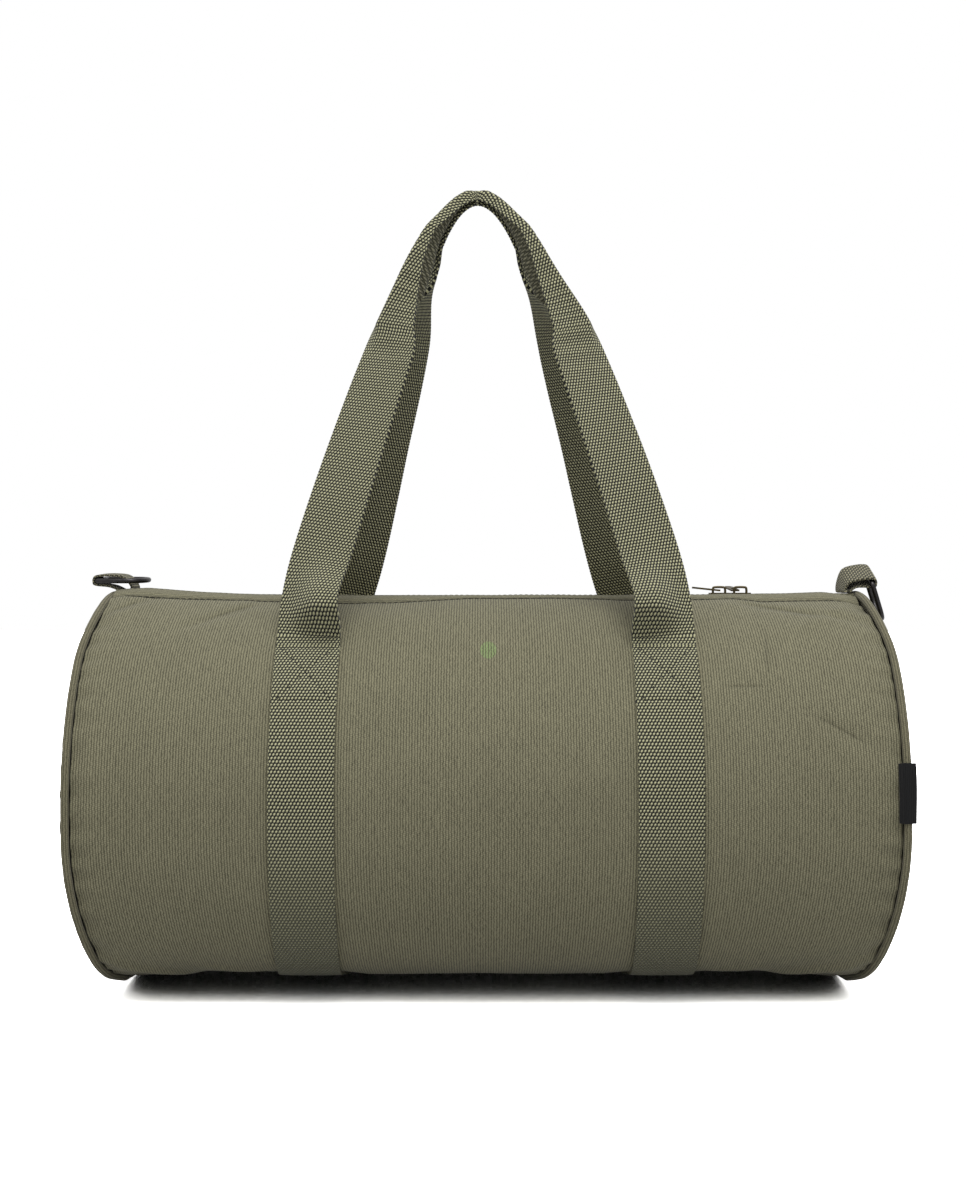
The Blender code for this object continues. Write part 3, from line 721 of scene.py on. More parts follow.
bodyPanel = {
    "seamHalfWidth": 0.028,
    "groove": 0.0010,
    "grooveAngle": 1.3,
    "columns": 186,
    "rows": 256,
}
seamAngle = math.degrees(math.asin(bodyPanel["seamHalfWidth"] / bagShape["halfDepth"]))
bodyStart, bodyEnd = arcAt(seamAngle), arcAt(360 - seamAngle)


def layBody(u, v):
    angle = angleAt(bodyStart + (bodyEnd - bodyStart) * v)
    x = (2 * u - 1) * (seamReach(sectionLine(angle).z) - bagShape["endGap"])
    fromSeam = min(angle, 360 - angle) - seamAngle
    groove = bodyPanel["groove"] * (1 - smooth(0.0, bodyPanel["grooveAngle"], fromSeam))
    return skinPoint(angle, canvasLift(x, angle) - groove, x)


body = clothGrid("canvas_body", bodyPanel["columns"], bodyPanel["rows"], layBody, bagShape["canvasWall"],
                 (2 * bagShape["halfLength"], bodyEnd - bodyStart), awayFromAxis)
finishPiece(body, markedCanvas, "bag", ["body_panel"])
print("canvas body", len(body.data.polygons))


# Round end panels, laid as a square grid pulled to a circle

endPanel = {
    "bulge": 0.0146,
    "rimLift": 0.0007,
    "swellPower": 2.4,
    "softNoise": 0.0014,
    "softScale": 14,
    "puckers": 0.0008,
    "puckerTurns": (38, 1.7, 5),
    "cells": 104,
}


def makeEndPanel(side, name):
    form = endPanel
    centre = Vector((0, 0, bellyHeight))
    turns, sway, swayTurns = form["puckerTurns"]

    def layEnd(u, v):
        a, b = 2 * u - 1, 2 * v - 1
        y, z = a * math.sqrt(1 - b * b / 2), b * math.sqrt(1 - a * a / 2)
        share = min(math.hypot(y, z), 1.0)
        angle = math.degrees(math.atan2(-y, z)) % 360
        turn = math.radians(angle)
        place = centre.lerp(skinPoint(angle, -bagShape["endGap"], bagShape["halfLength"]), share)
        tuck = bagShape["halfLength"] - seamReach(sectionLine(angle).z)
        swell = form["bulge"] * (1 - share ** form["swellPower"])
        ripple = math.sin(turn * turns + sway * math.sin(turn * swayTurns + side))
        soft = noise.noise(Vector((place.y * form["softScale"], place.z * form["softScale"], 3.0 * side)))
        wave = form["softNoise"] * soft * (1 - share ** 6)
        wave += form["puckers"] * ripple * smooth(0.72, 0.97, share) * (1 - smooth(0.97, 1.0, share))
        x = bagShape["halfLength"] - tuck * share ** 2 + form["rimLift"] + swell + bagShape["canvasWall"] + wave
        return Vector((side * x, place.y, place.z))

    piece = clothGrid("canvas_end_" + name, form["cells"], form["cells"], layEnd, bagShape["canvasWall"],
                      (2 * bagShape["halfDepth"], bagShape["height"]), lambda point: Vector((side, 0, 0)))
    return finishPiece(piece, canvas, "bag", ["end_panel_" + name])


for side, name in bothSides:
    makeEndPanel(side, name)


# Piping and seam binding: a closed profile swept round each end seam

piping = {
    "radius": 0.0024,
    "flange": 0.0004,           # half thickness
    "allowance": 0.010,
    "wobble": 0.05,
    "step": 1.0,
    "sides": 14,
}
binding = {"half": 0.0015, "wobble": 0.02, "step": 2.0}


def sweepSeam(name, side, profile, form):
    rings = []
    for index in range(int(360 / form["step"])):
        angle = index * form["step"]
        reach = seamReach(sectionLine(angle).z)
        size = 1 + form["wobble"] * noise.noise(Vector((angle * 0.21, side, 0)))
        ring = []
        for out, lift in profile:
            point = skinPoint(angle, lift * size, reach)
            ring.append(Vector((side * (reach + out * size), point.y, max(point.z, 0.0003))))
        rings.append(ring)
    return loftPiece(name, rings, closed=True)


def pipingProfile():
    start = math.asin(piping["flange"] / piping["radius"])
    profile = []
    for index in range(piping["sides"] + 1):
        turn = start + (2 * math.pi - 2 * start) * index / piping["sides"]
        profile.append((piping["radius"] * math.sin(turn), -piping["radius"] * math.cos(turn)))
    return profile + [(-piping["flange"], -piping["allowance"]), (piping["flange"], -piping["allowance"])]


def bindingProfile():
    half, top = binding["half"], -piping["allowance"] - seatGap
    return [(-half, top), (0, top + 0.0001), (half, top), (half * 1.05, top - half), (half, top - 2 * half),
            (0, top - 2.1 * half), (-half, top - 2 * half), (-half * 1.05, top - half)]


for side, name in bothSides:
    cord = sweepSeam("piping_cover_" + name, side, pipingProfile(), piping)
    finishPiece(cord, pipingCanvasPaintedShade, "bag", ["piping_" + name], turn=60)
    edge = sweepSeam("binding_tape_" + name, side, bindingProfile(), binding)
    finishPiece(edge, blackTape, "bag", ["seam_binding_" + name])
print("ends and piping made")


# Webbing straps round the body

strapForm = {
    "width": 0.038,
    "wall": 0.0022,
    "middle": 0.106,
    "startAngle": 42.4,
    "serration": 0.00028,
    "crown": 0.00035,
    "columns": 30,
    "row": 0.000985,
    "boxTop": 43.2,             # degrees round from the zip line
    "boxBottom": 60.8,
    "boxEdge": 0.0028,
    "stitchDent": 0.0006,
    "stitchHalf": 0.0012,
}
strapStart, strapEnd = arcAt(strapForm["startAngle"]), arcAt(360 - strapForm["startAngle"])
boxHalf = strapForm["width"] / 2 - strapForm["boxEdge"]


def strapPoint(side, across, arc, lift=0.0):
    x = side * strapForm["middle"] + across
    crown = strapForm["crown"] * (abs(across) / strapForm["width"] * 2) ** 4
    return skinPoint(angleAt(arc), seatGap + strapForm["wall"] - crown + lift, x)


# How far the box and its cross press into the strap
def stitchPress(across, arc):
    if abs(across) > boxHalf + 0.002:
        return 0.0
    press = 0.0
    top, bottom = strapForm["boxTop"], strapForm["boxBottom"]
    for begin, end in ((top, bottom), (360 - top, 360 - bottom)):
        share = (angleAt(arc) - begin) / (end - begin)
        if -0.2 < share < 1.2:
            long = abs(arcAt(end) - arcAt(begin))
            lines = [share * long, (1 - share) * long]
            if 0 < share < 1:
                turned = abs(2 * share - 1) * boxHalf
                lines.append(abs(abs(across) - turned) * long / math.hypot(long, 2 * boxHalf))
            press = max(press, max(bump(0, strapForm["stitchHalf"], line) for line in lines))
    return press * strapForm["stitchDent"]


def makeStrap(side, name):
    rows = round((strapEnd - strapStart) / strapForm["row"])

    def layStrap(u, v):
        arc = strapStart + (strapEnd - strapStart) * v
        across = (u - 0.5) * strapForm["width"]
        if u < 0.001 or u > 0.999:
            across -= math.copysign(strapForm["serration"], across) * (round(v * rows) % 2)
        return strapPoint(side, across, arc, -stitchPress(across, arc))

    piece = clothGrid("webbing_strap_" + name, strapForm["columns"], rows, layStrap, strapForm["wall"],
                      (strapForm["width"], strapEnd - strapStart), awayFromAxis)
    return finishPiece(piece, webbing, "bag", ["strap_" + name])


for side, name in bothSides:
    makeStrap(side, name)
print("straps made")


# Handles: the same routes as in the part, with the bands folded lengthwise towards the apex

handleForm = {
    "spacing": 0.212,
    "rise": 0.2835,
    "footAngle": 40.5,
    "tilt": 26.0,
    "nest": 0.0034,
    "apexShift": -0.003,
    "driftFrom": (0.68, 0.84),  # shares of the rise between which a band drifts aside
    "routeSteps": 14,
    "settleReach": 0.03,
    "settlePasses": 26,
    "rollAt": 0.066,            # share of the rise where the foot rolls out most
    "rollReach": (0.034, 0.075),
    "rollAcross": (0.05, 0.72),
    "lipLean": 15.0,
    "tailTuck": -12.0,
    "foldRound": 0.003,
    "foldSteps": 76,
    "footStations": 8,
    "innerFrom": 0.62,          # share of the rise above which the inside shows its ribs
}
# Lines of pairs start with a share of the rise. Widths are in metres as seen from the front, tucks in degrees:
# the lip stands in front, the face tucks in beside it, and the tail lies behind.
frontBand = {
    "front": True,
    "route": [(0, 1.0, 0), (0.10, 0.98, 0.16), (0.21, 0.918, 0.28), (0.41, 0.76, 0.41), (0.64, 0.557, 0.61),
              (0.79, 0.404, 0.96), (0.88, 0.298, 1.06), (0.93, 0.219, 1.06), (0.982, 0.092, 1.02), (1, 0, 1)],
    "fold": (0.60, 0.80),       # where the fold comes in
    "lip": [(0.60, 0.034), (0.70, 0.0250), (0.77, 0.0165), (0.85, 0.0092), (0.906, 0.0062), (1.0, 0.0080)],
    "face": [(0.60, 0.030), (0.70, 0.0255), (0.77, 0.0205), (0.85, 0.0170), (0.906, 0.0116), (0.95, 0.0080),
             (1.0, 0.0052)],
    "tuck": [(0.60, 58.0)],
    "drift": 0.95,
    "footRoll": 0.0165,
}
rearBand = {
    "front": False,
    "route": [(0, 1.0, 0), (0.10, 0.90, 0.10), (0.22, 0.807, 0.17), (0.36, 0.71, 0.25), (0.47, 0.632, 0.32),
              (0.60, 0.528, 0.42), (0.70, 0.443, 0.55), (0.80, 0.368, 0.72), (0.88, 0.274, 0.86),
              (0.94, 0.195, 0.94), (0.985, 0.10, 1.0), (1, 0, 1)],
    "fold": (0.74, 0.92),
    "lip": [(0.60, 0.037), (0.70, 0.034), (0.80, 0.012), (0.87, 0.0030), (0.94, 0.0020), (1.0, 0.0020)],
    "tuck": [(0.80, 10.0), (0.87, 3.0), (0.94, 2.5), (1.0, 2.0)],
    "shift": [(0.70, 0.0), (0.80, -0.0024), (0.86, -0.0042), (0.92, -0.0014), (1.0, 0.0034)],
    "nest": 0.0096,
    "drift": 0.75,
    "footRoll": 0.0050,
}


def smoothPath(points, steps, closed=False):
    points = [Vector(point) for point in points]
    count = len(points)
    path = []
    for span in range(count if closed else count - 1):
        if closed:
            before, start, end, after = (points[(span + k) % count] for k in (-1, 0, 1, 2))
        else:
            start, end = points[span], points[span + 1]
            before = points[span - 1] if span > 0 else start * 2 - end
            after = points[span + 2] if span + 2 < count else end * 2 - start
        for step in range(steps):
            t = step / steps
            path.append(0.5 * (2 * start + (end - before) * t + (2 * before - 5 * start + 4 * end - after) * t ** 2
                               + (3 * start - before - 3 * end + after) * t ** 3))
    if not closed:
        path.append(points[-1])
    return path


# Stations of a handle: middle, outward normal, width direction, way along, and share of the rise
def handleStations(band):
    form, flip = handleForm, 1 if band["front"] else -1
    foot = skinPoint(form["footAngle"], seatGap + strapForm["wall"] / 2)
    foot.y *= flip
    apex = Vector((0, 0, foot.z + form["rise"]))
    tilt = math.radians(form["tilt"])
    if not band["front"]:
        apex += Vector((0, math.sin(tilt), -math.cos(tilt))) * form["nest"]
    rise = apex - foot
    upward, sideways = rise.normalized(), Vector((1, 0, 0))
    plane = sideways.cross(upward) * flip
    apexTwist = math.pi / 2 - math.asin(abs(rise.y) / rise.length) - tilt * flip
    half = form["spacing"] / 2
    points = [Vector((-spread * half, up * rise.length, twist)) for up, spread, twist in band["route"]]
    points += [Vector((-p.x, p.y, p.z)) for p in reversed(points[:-1])]
    line = smoothPath(points, form["routeSteps"])
    stations = []
    for index, point in enumerate(line):
        before, after = line[max(index - 1, 0)], line[min(index + 1, len(line) - 1)]
        along = (sideways * (after.x - before.x) + upward * (after.y - before.y)).normalized()
        if index in (0, len(line) - 1):
            along = upward if index == 0 else -upward
        outward = plane.cross(along) * flip
        twist = point.z * apexTwist
        normal = plane * math.cos(twist) + outward * math.sin(twist)
        share = point.y / rise.length
        drift = form["apexShift"] * (share * share + band["drift"] * smooth(*form["driftFrom"], share))
        place = foot + rise * share + sideways * (point.x + drift)
        stations.append((place, normal, normal.cross(along), along, share))
    return stations, foot


# The few millimetres of each end that stay on the bag, below the line where the handle turns
def footStations(band, side, first):
    flip, count = 1 if band["front"] else -1, handleForm["footStations"]
    rows = []
    for index in range(count):
        angle = strapForm["startAngle"] + (handleForm["footAngle"] - strapForm["startAngle"]) * index / count
        place = skinPoint(angle, seatGap + strapForm["wall"] / 2, side * handleForm["spacing"] / 2)
        normal = sectionOut(angle)
        place.y *= flip
        normal.y *= flip
        rows.append((place, normal, first[2], (first[0] - place).normalized(), 0.0))
    return rows


# Rounds the turn where a handle leaves the bag
def settleRows(rows):
    places = [row[0] for row in rows]
    normals = [row[1] for row in rows]
    weights = [1 - smooth(0, handleForm["settleReach"], abs(row[4])) for row in rows]
    for _ in range(handleForm["settlePasses"]):
        for values in (places, normals):
            fresh = list(values)
            for index in range(1, len(values) - 1):
                middle = (values[index - 1] + values[index + 1]) / 2
                fresh[index] = values[index].lerp(middle, 0.5 * weights[index])
            values[:] = fresh
    return [(place, normal.normalized(), *row[2:]) for place, normal, row in zip(places, normals, rows)]


# The whole band's stations, one to each row of the weave
def bandRows(band):
    stations, foot = handleStations(band)
    left = footStations(band, -1, stations[0])
    right = [(place, normal, stations[-1][2], -along, share)
             for place, normal, _, along, share in reversed(footStations(band, 1, stations[-1]))]
    rows = settleRows(left + stations + right)
    lengths = lengthsAlong([row[0] for row in rows])
    count = round(lengths[-1] / strapForm["row"])
    even = []
    for index in range(count + 1):
        place, t = spanAt(lengths, lengths[-1] * index / count)
        one, two = rows[place - 1], rows[place]
        turned = [one[part].lerp(two[part], t).normalized() for part in (1, 2, 3)]
        even.append((one[0].lerp(two[0], t), *turned, one[4] + (two[4] - one[4]) * t))
    return even, lengths[-1], foot


# Where the middle of the band lies at a distance across it, counted from its front edge. Towards the
# apex the band is folded lengthwise, as two bands held in one hand are: a lip in front, the rest behind it.
def bandSection(band, row, distances):
    place, normal, across, along, share = row
    form, front, width = handleForm, band["front"], strapForm["width"]
    half = width / 2
    away = place - cameraPlace
    away = (away - along * away.dot(along)).normalized()
    outer = away.cross(along).normalized()
    if outer.z < 0:
        outer.negate()
    weight = smooth(*band["fold"], share)
    if weight <= 0:
        reach = form["rollReach"][0 if share < form["rollAt"] else 1]
        roll = band["footRoll"] * bump(form["rollAt"], reach, share) * smooth(0.0, 0.02, share)
        points = []
        for d in distances:
            inner = 0.5 - 0.5 * math.copysign(1, place.x) * across.x * (d - half) / half
            points.append(place + across * (d - half) + normal * (roll * smooth(*form["rollAcross"], inner)))
        return points
    flatTurn = math.atan2(across.dot(away), across.dot(outer))
    spread = abs(across.dot(outer)) * half
    lip, tuck = alongLine(band["lip"], share), alongLine(band["tuck"], share)
    face = alongLine(band["face"], share) / math.sin(math.radians(tuck)) if front else width
    lean, inward, back = (math.radians(d) for d in (form["lipLean"], 90 + tuck, 90 + form["tailTuck"]))
    steps, soft = form["foldSteps"], form["foldRound"]
    line = [Vector((0, 0))]
    for index in range(steps):
        d = (index + 0.5) * width / steps
        turn = lean + (inward - lean) * smooth(lip - soft, lip + soft, d)
        turn += (back - inward) * smooth(lip + face - soft, lip + face + soft, d)
        turn = flatTurn + (turn - flatTurn) * weight
        line.append(line[-1] + Vector((math.cos(turn), math.sin(turn))) * width / steps)
    level = line[min(int(lip / width * steps), steps)].y
    shift = Vector((spread, (lip - half) * math.sin(flatTurn) - level))
    if front:
        shift.x -= max(p.x for p in line)
    else:
        shift.x -= min(p.x for p in line) + 2 * spread
        shift += Vector((alongLine(band["shift"], share), band["nest"])) * weight
    points = []
    for d in distances:
        at = min(d / width * steps, steps - 0.001)
        spot = line[int(at)].lerp(line[int(at) + 1], at - int(at)) + shift
        points.append(place + outer * spot.x + away * spot.y)
    return points


def makeHandle(name, band, node):
    rows, length, foot = bandRows(band)
    columns = strapForm["columns"] + 6
    width = strapForm["width"]
    distances = [width * index / columns for index in range(columns + 1)]
    sections = [bandSection(band, row, distances) for row in rows]
    last = len(rows) - 1

    def layBand(u, v):
        row, column = min(round(v * last), last), min(round(u * columns), columns)
        point = sections[row][column].copy()
        if column in (0, columns) and row % 2:
            inner = sections[row][1 if column == 0 else columns - 1]
            point = point.lerp(inner, strapForm["serration"] / (width / columns))
        return point

    def outwards(point):
        return min(rows[::12], key=lambda item: (item[0] - point).length)[1]

    piece = clothGrid(name, columns, last, layBand, strapForm["wall"], (width, length), outwards, offset=0)
    finishPiece(piece, webbing, None, [node])
    if band["front"]:
        cells = columns * last
        piece.data.materials.append(innerWebbing)
        first = piece.data.polygons[0]
        inner = range(cells, 2 * cells) if first.normal.dot(outwards(first.center)) > 0 else range(cells)
        for index in inner:
            if rows[min(index % cells // columns, last)][4] > handleForm["innerFrom"]:
                piece.data.polygons[index].material_index = 1
    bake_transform(piece)
    print(name, "made,", len(rows), "rows")


makeHandle("front_webbing_handle", frontBand, "front_handle")
makeHandle("rear_webbing_handle", rearBand, "rear_handle")


# Zip: folded facings over the tapes, end tabs, and the shapes that they follow

zipForm = {
    "facingHalfWidth": 0.0125,
    "stitchDent": 0.0005,
    "seamRoll": 0.0012,
    "bow": 0.0006,
    "rearRise": 0.6,            # share of the front fold's lift that the rear one has
    "stitchShare": 0.84,
    "tapeWall": 0.0009,
    "tapeStart": 0.0046,
    "tapeFlat": 0.00925,
    "tapeDrop": 0.0026,
    "teethHalf": 0.0012,
    "stopEnd": 0.2171,
    "tabHalfWidth": 0.0122,
    "stations": 190,
}
zipHeight = sectionLine(0).z - zipForm["teethHalf"] - seatGap
zipReach = seamReach(sectionLine(0).z)
facingAngle = math.degrees(math.asin(zipForm["facingHalfWidth"] / bagShape["halfDepth"]))
facingSeam = seamAngle - math.degrees(seatGap / bagShape["halfDepth"])
foldTurns = (30, 60, 90, 120, 150)


# Lift of a facing, share 0 at its seam and 1 at its fold
def facingLift(x, share, front):
    seamRise = canvasLift(x, seamAngle if front else 360 - seamAngle)
    foldRise = alongLine(canvasForm["lipLine"], x) * (1.0 if front else zipForm["rearRise"])
    soft = 0.0003 * noise.noise(Vector((x * 60, share * 3, 7.0 if front else 8.0)))
    rise = seamRise * (1 - share) + foldRise * share + zipForm["bow"] * math.sin(math.pi * share) + soft
    return rise - zipForm["stitchDent"] * bump(0.16, 0.06, share) - zipForm["seamRoll"] * (1 - smooth(0, 0.13, share))


def facingPoint(x, share, front, depth=0.0):
    angle = facingSeam + (facingAngle - facingSeam) * share
    return skinPoint(angle if front else -angle, facingLift(x, share, front) - depth, x)


def zipStations():
    reach, count = zipReach - bagShape["endGap"], zipForm["stations"]
    return [-reach + 2 * reach * index / count for index in range(count + 1)]


def makeZipFacing(name, front):
    wall = bagShape["canvasWall"]
    rings = []
    for x in zipStations():
        shares = (0, 0.04, 0.08, 0.12, 0.16, 0.2, 0.26, 0.36, 0.48, 0.6, 0.72, 0.82, 0.9, 0.95)
        ring = [facingPoint(x, share, front) for share in shares]
        last, lower = ring[-1], facingPoint(x, 0.95, front, wall)
        middle, radius = (last + lower) / 2, (last - lower) / 2
        towards = Vector((0, math.copysign(radius.length, -last.y), 0))
        ring += [middle + radius * cosine + towards * sine for sine, cosine in arcSteps(foldTurns)]
        ring += [facingPoint(x, share, front, wall) for share in (0.9, 0.78, 0.6, 0.4, 0.2, 0.0)]
        rings.append(ring)
    piece = loftPiece(name, rings)
    return finishPiece(piece, canvas, "bag", ["zip_facing_front" if front else "zip_facing_rear"], turn=50)


def makeZipTape(name, front):
    half = zipForm["tapeWall"] / 2
    side = -1 if front else 1
    flat = (zipForm["tapeStart"], 0.0065, zipForm["tapeFlat"])
    rings = []
    for x in zipStations():
        line = [(y, zipHeight) for y in flat]
        for y in (0.0110, 0.0125, 0.0155, 0.0187, 0.0214, 0.0240):
            angle = math.degrees(math.asin(y / bagShape["halfDepth"]))
            rise = facingLift(x, min((facingSeam - angle) / (facingSeam - facingAngle), 1.0), front)
            rise = min(rise, 0) + 0.3 * max(rise, 0)
            under = sectionLine(angle).z - bagShape["canvasWall"] - seatGap - half
            under = max(under, zipHeight - zipForm["tapeDrop"]) + rise
            level = smooth(zipForm["tapeFlat"], 0.0125, y)
            line.append((y, zipHeight * (1 - level) + (under - 0.0001) * level))
        section = [(y, z + half) for y, z in line] + [(y, z - half) for y, z in reversed(line)]
        rings.append([Vector((x, side * y, z)) for y, z in section])
    piece = loftPiece(name, rings)
    return finishPiece(piece, zipTape, "bag", ["zip_tape_front" if front else "zip_tape_rear"], turn=50)


# Section of a flat pad with rounded edges
def padSection(x, half, wall, top, steps=9):
    edge = wall / 2
    inner, middle = half - edge, top - edge
    across = [-inner + 2 * inner * index / steps for index in range(steps + 1)]
    rounded = arcSteps((45, 90, 135), edge)
    section = [(y, top) for y in across] + [(inner + sine, middle + cosine) for sine, cosine in rounded]
    section += [(-y, top - wall) for y in across] + [(-inner - sine, middle - cosine) for sine, cosine in rounded]
    return [Vector((x, y, z)) for y, z in section]


endTab = {
    "start": zipForm["stopEnd"],
    "end": zipReach - 0.0030,
    "top": zipHeight + zipForm["tapeWall"] / 2 + seatGap + bagShape["canvasWall"],
    "crown": 0.0003,
    "stations": 12,
}


def makeZipEndTab(name, side, node):
    rings = []
    for index in range(endTab["stations"] + 1):
        share = index / endTab["stations"]
        press = endTab["crown"] * (bump(0.1, 0.12, share) + bump(0.9, 0.12, share))
        x = endTab["start"] + (endTab["end"] - endTab["start"]) * share
        rings.append(padSection(side * x, zipForm["tabHalfWidth"], bagShape["canvasWall"] - endTab["crown"],
                                endTab["top"] - press))
    return finishPiece(loftPiece(name, rings), canvas, "bag", [node], turn=50)


for front, name in ((True, "front"), (False, "rear")):
    makeZipFacing("folded_facing_" + name, front)
    makeZipTape("woven_tape_" + name, front)
for side, name in bothSides:
    makeZipEndTab("sewn_end_tab_" + name, side, "zip_end_tab_" + name)
print("zip facings, tapes and end tabs made")


# D-rings and the webbing loops that hold them

ringForm = {
    "wire": 0.0016,
    "innerWidth": 0.026,
    "reach": 0.0296,
    "bowDepth": 0.0105,
    "sides": 20,
    # how each ring's bar lies: overhang, rise, lean and the way its bow points, in metres and degrees
    "bars": {"left": (0.0063, 0.00855, 3.0, 180.0), "right": (0.0050, 0.01105, 22.0, -70.0)},
}
loopForm = {
    "width": 0.025,
    "wall": 0.0016,
    "outerFoot": 0.88,          # share of the end tab's length
    "columns": 16,
    # points as (along, height, share of the bar's lean)
    "left": {"innerFoot": 0.57, "outerLeg": (0.50, 0.44, 0.45), "innerLeg": (-0.03, 0.5, 0.35),
             "topLayer": ((0.65, 1.10, 1.0), (0.22, 0.72, 0.8))},
    "right": {"innerFoot": 0.66, "outerLeg": (0.34, 0.60, 0.75), "innerLeg": (0.04, 0.36, 0.6),
              "topLayer": ((0.70, 0.90, 1.0), (0.22, 0.05, 0.95))},
}


def ringFrame(way, name):
    overhang, rise, roll, _ = ringForm["bars"][name]
    lean = math.radians(roll)
    bar = Vector((way * (bagShape["halfLength"] + overhang), 0, endTab["top"] + rise))
    across = Vector((0, -math.cos(lean), -math.sin(lean)))
    upward = Vector((0, -math.sin(lean), math.cos(lean)))
    return bar, Vector((way, 0, 0)), across, upward


def makeDRing(way, name):
    bar, outward, across, upward = ringFrame(way, name)
    turn = math.radians(ringForm["bars"][name][3])
    reach = outward * math.cos(turn) + upward * math.sin(turn)
    wire, bow = ringForm["wire"], ringForm["bowDepth"]
    halfBar, corner = ringForm["innerWidth"] / 2 + wire, wire * 4 / 3
    straight = ringForm["reach"] - bow
    quarter = [(halfBar - corner, 0)]
    quarter += [(halfBar - corner + sine, corner - cosine) for sine, cosine in arcSteps((22, 45, 68), corner)]
    path = quarter + [(halfBar * cosine, straight + bow * sine) for sine, cosine in arcSteps(range(0, 181, 6))]
    path += [(-u, v) for u, v in reversed(quarter)] + [(-0.004, 0), (0.004, 0)]
    piece = wirePiece("wire_d_ring_" + name, [bar + across * u + reach * v for u, v in path], wire, ringForm["sides"])
    return finishPiece(piece, gunmetal, "d_ring_" + name, ["d_ring_" + name], turn=60)


# Middle line of a loop, out along the tab, round the bar and back
def loopLine(way, name):
    bar = ringFrame(way, name)[0]
    form, wall = loopForm[name], loopForm["wall"]
    fold = ringForm["wire"] + seatGap + wall / 2 + seatGap
    seat = endTab["top"] + seatGap * 2 + wall / 2
    length = endTab["end"] - endTab["start"]
    innerFoot = endTab["start"] + length * form["innerFoot"]
    outerFoot = endTab["start"] + length * loopForm["outerFoot"]
    reach, lift = way * bar.x, bar.z - seat
    line = [(innerFoot, seat, 0.0), ((innerFoot + outerFoot) / 2, seat, 0.0), (outerFoot, seat, 0.0)]
    along, up, turned = form["outerLeg"]
    line.append((outerFoot + (reach - outerFoot) * along, seat + lift * up, turned))
    line += [(reach + cosine, bar.z + sine, 1.0) for sine, cosine in arcSteps((-60, -15, 30, 75), fold)]
    line += [(innerFoot + (reach - innerFoot) * along, bar.z + fold * up, turned)
             for along, up, turned in form["topLayer"]]
    along, up, turned = form["innerLeg"]
    line.append((innerFoot + (reach - innerFoot) * along, seat + lift * up, turned))
    return smoothPath(line, 8, closed=True)


def makeWebbingLoop(way, name):
    bar, _, across, _ = ringFrame(way, name)
    lean = math.asin(-across.z)
    path = loopLine(way, name)
    half, wall = loopForm["width"] / 2, loopForm["wall"]
    shares = [-1 + 2 * index / loopForm["columns"] for index in range(loopForm["columns"] + 1)]
    rings = []
    for index, point in enumerate(path):
        before, after = path[index - 1], path[(index + 1) % len(path)]
        along = Vector((after.x - before.x, after.y - before.y)).normalized()
        roll = lean * min(max(point.z, 0.0), 1.0)
        wide = Vector((0, -math.cos(roll), -math.sin(roll)))
        up = Vector((0, -math.sin(roll), math.cos(roll)))
        middle = Vector((0, 0, bar.z)) + up * (point.y - bar.z)

        def spot(share, layer):
            offset = layer * wall / 2 * (1 - 0.35 * abs(share) ** 8)
            place = middle + wide * (share * half) + up * (-along.x * offset)
            return Vector((way * (point.x + along.y * offset), place.y, place.z))

        rings.append([spot(share, -1) for share in shares] + [spot(share, 1) for share in reversed(shares)])
    piece = loftPiece("webbing_ring_loop_" + name, rings, closed=True)
    return finishPiece(piece, loopWebbing, "bag", ["ring_loop_" + name], turn=45)


for side, name in bothSides:
    makeDRing(side, name)
    makeWebbingLoop(side, name)
print("rings and loops made")


# Bare folded side tag and the hidden pocket

tagForm = {"width": 0.0070, "height": 0.0310, "wall": 0.0008, "angle": 85.5, "curl": 0.0006, "stations": 32}


def makeRibbonTag():
    radius, wall = piping["radius"], tagForm["wall"]
    lift = radius + seatGap
    halfTurn = math.degrees(tagForm["height"] / bagShape["halfDepth"]) / 2
    rings = []
    for index in range(tagForm["stations"] + 1):
        share = index / tagForm["stations"]
        angle = tagForm["angle"] - halfTurn + 2 * halfTurn * share
        start = seamReach(sectionLine(angle).z) - radius - seatGap
        end = start + tagForm["width"] - wall / 2
        curl = tagForm["curl"] * math.sin(share * math.pi * 1.3 + 0.4)
        line = [(start - radius * (1 - t), seatGap + (lift - seatGap) * smooth(0, 1, t))
                for t in (0, 0.3, 0.55, 0.8, 1.0)]
        line += [(start + (end - start) * t, lift + curl * t * t) for t in (0.25, 0.5, 0.75, 1.0)]
        middle = line[-1][1] + wall / 2
        ring = [(x, rise + wall) for x, rise in line]
        ring += [(end + sine, middle + cosine) for sine, cosine in arcSteps(foldTurns, wall / 2)]
        ring += reversed(line)
        rings.append([skinPoint(angle, rise, x) for x, rise in ring])
    return finishPiece(loftPiece("folded_side_tag", rings), ribbon, "bag", ["side_tag"], turn=50)


pocketForm = {"width": 0.165, "length": 0.094, "depthAngle": 44.0, "sag": 0.0006, "columns": 40, "rows": 30}


def makePocketPouch():
    wall = bagShape["canvasWall"]

    def layPocket(u, v):
        angle = seamAngle + 1 + pocketForm["depthAngle"] * v
        x = pocketForm["width"] * u
        sag = pocketForm["sag"] * noise.noise(Vector((x * 30, v * 4, 5))) * math.sin(math.pi * v)
        return skinPoint(angle, -wall - seatGap * 2 - abs(sag) + min(canvasLift(x, angle), 0), x)

    piece = clothGrid("pocket_pouch", pocketForm["columns"], pocketForm["rows"], layPocket, wall,
                      (pocketForm["width"], pocketForm["length"]), awayFromAxis)
    return finishPiece(piece, canvas, "bag", ["inner_pocket"])


makeRibbonTag()
makePocketPouch()
print("tag and pocket made")


# Stitching: box and cross at each handle's foot, rows on the facings and end tabs, and along the zip seams a dark
# cord, a painted shadow of their groove

stitchSink = strapForm["stitchDent"] + 0.00008
upwards = Vector((0, 0, 1))


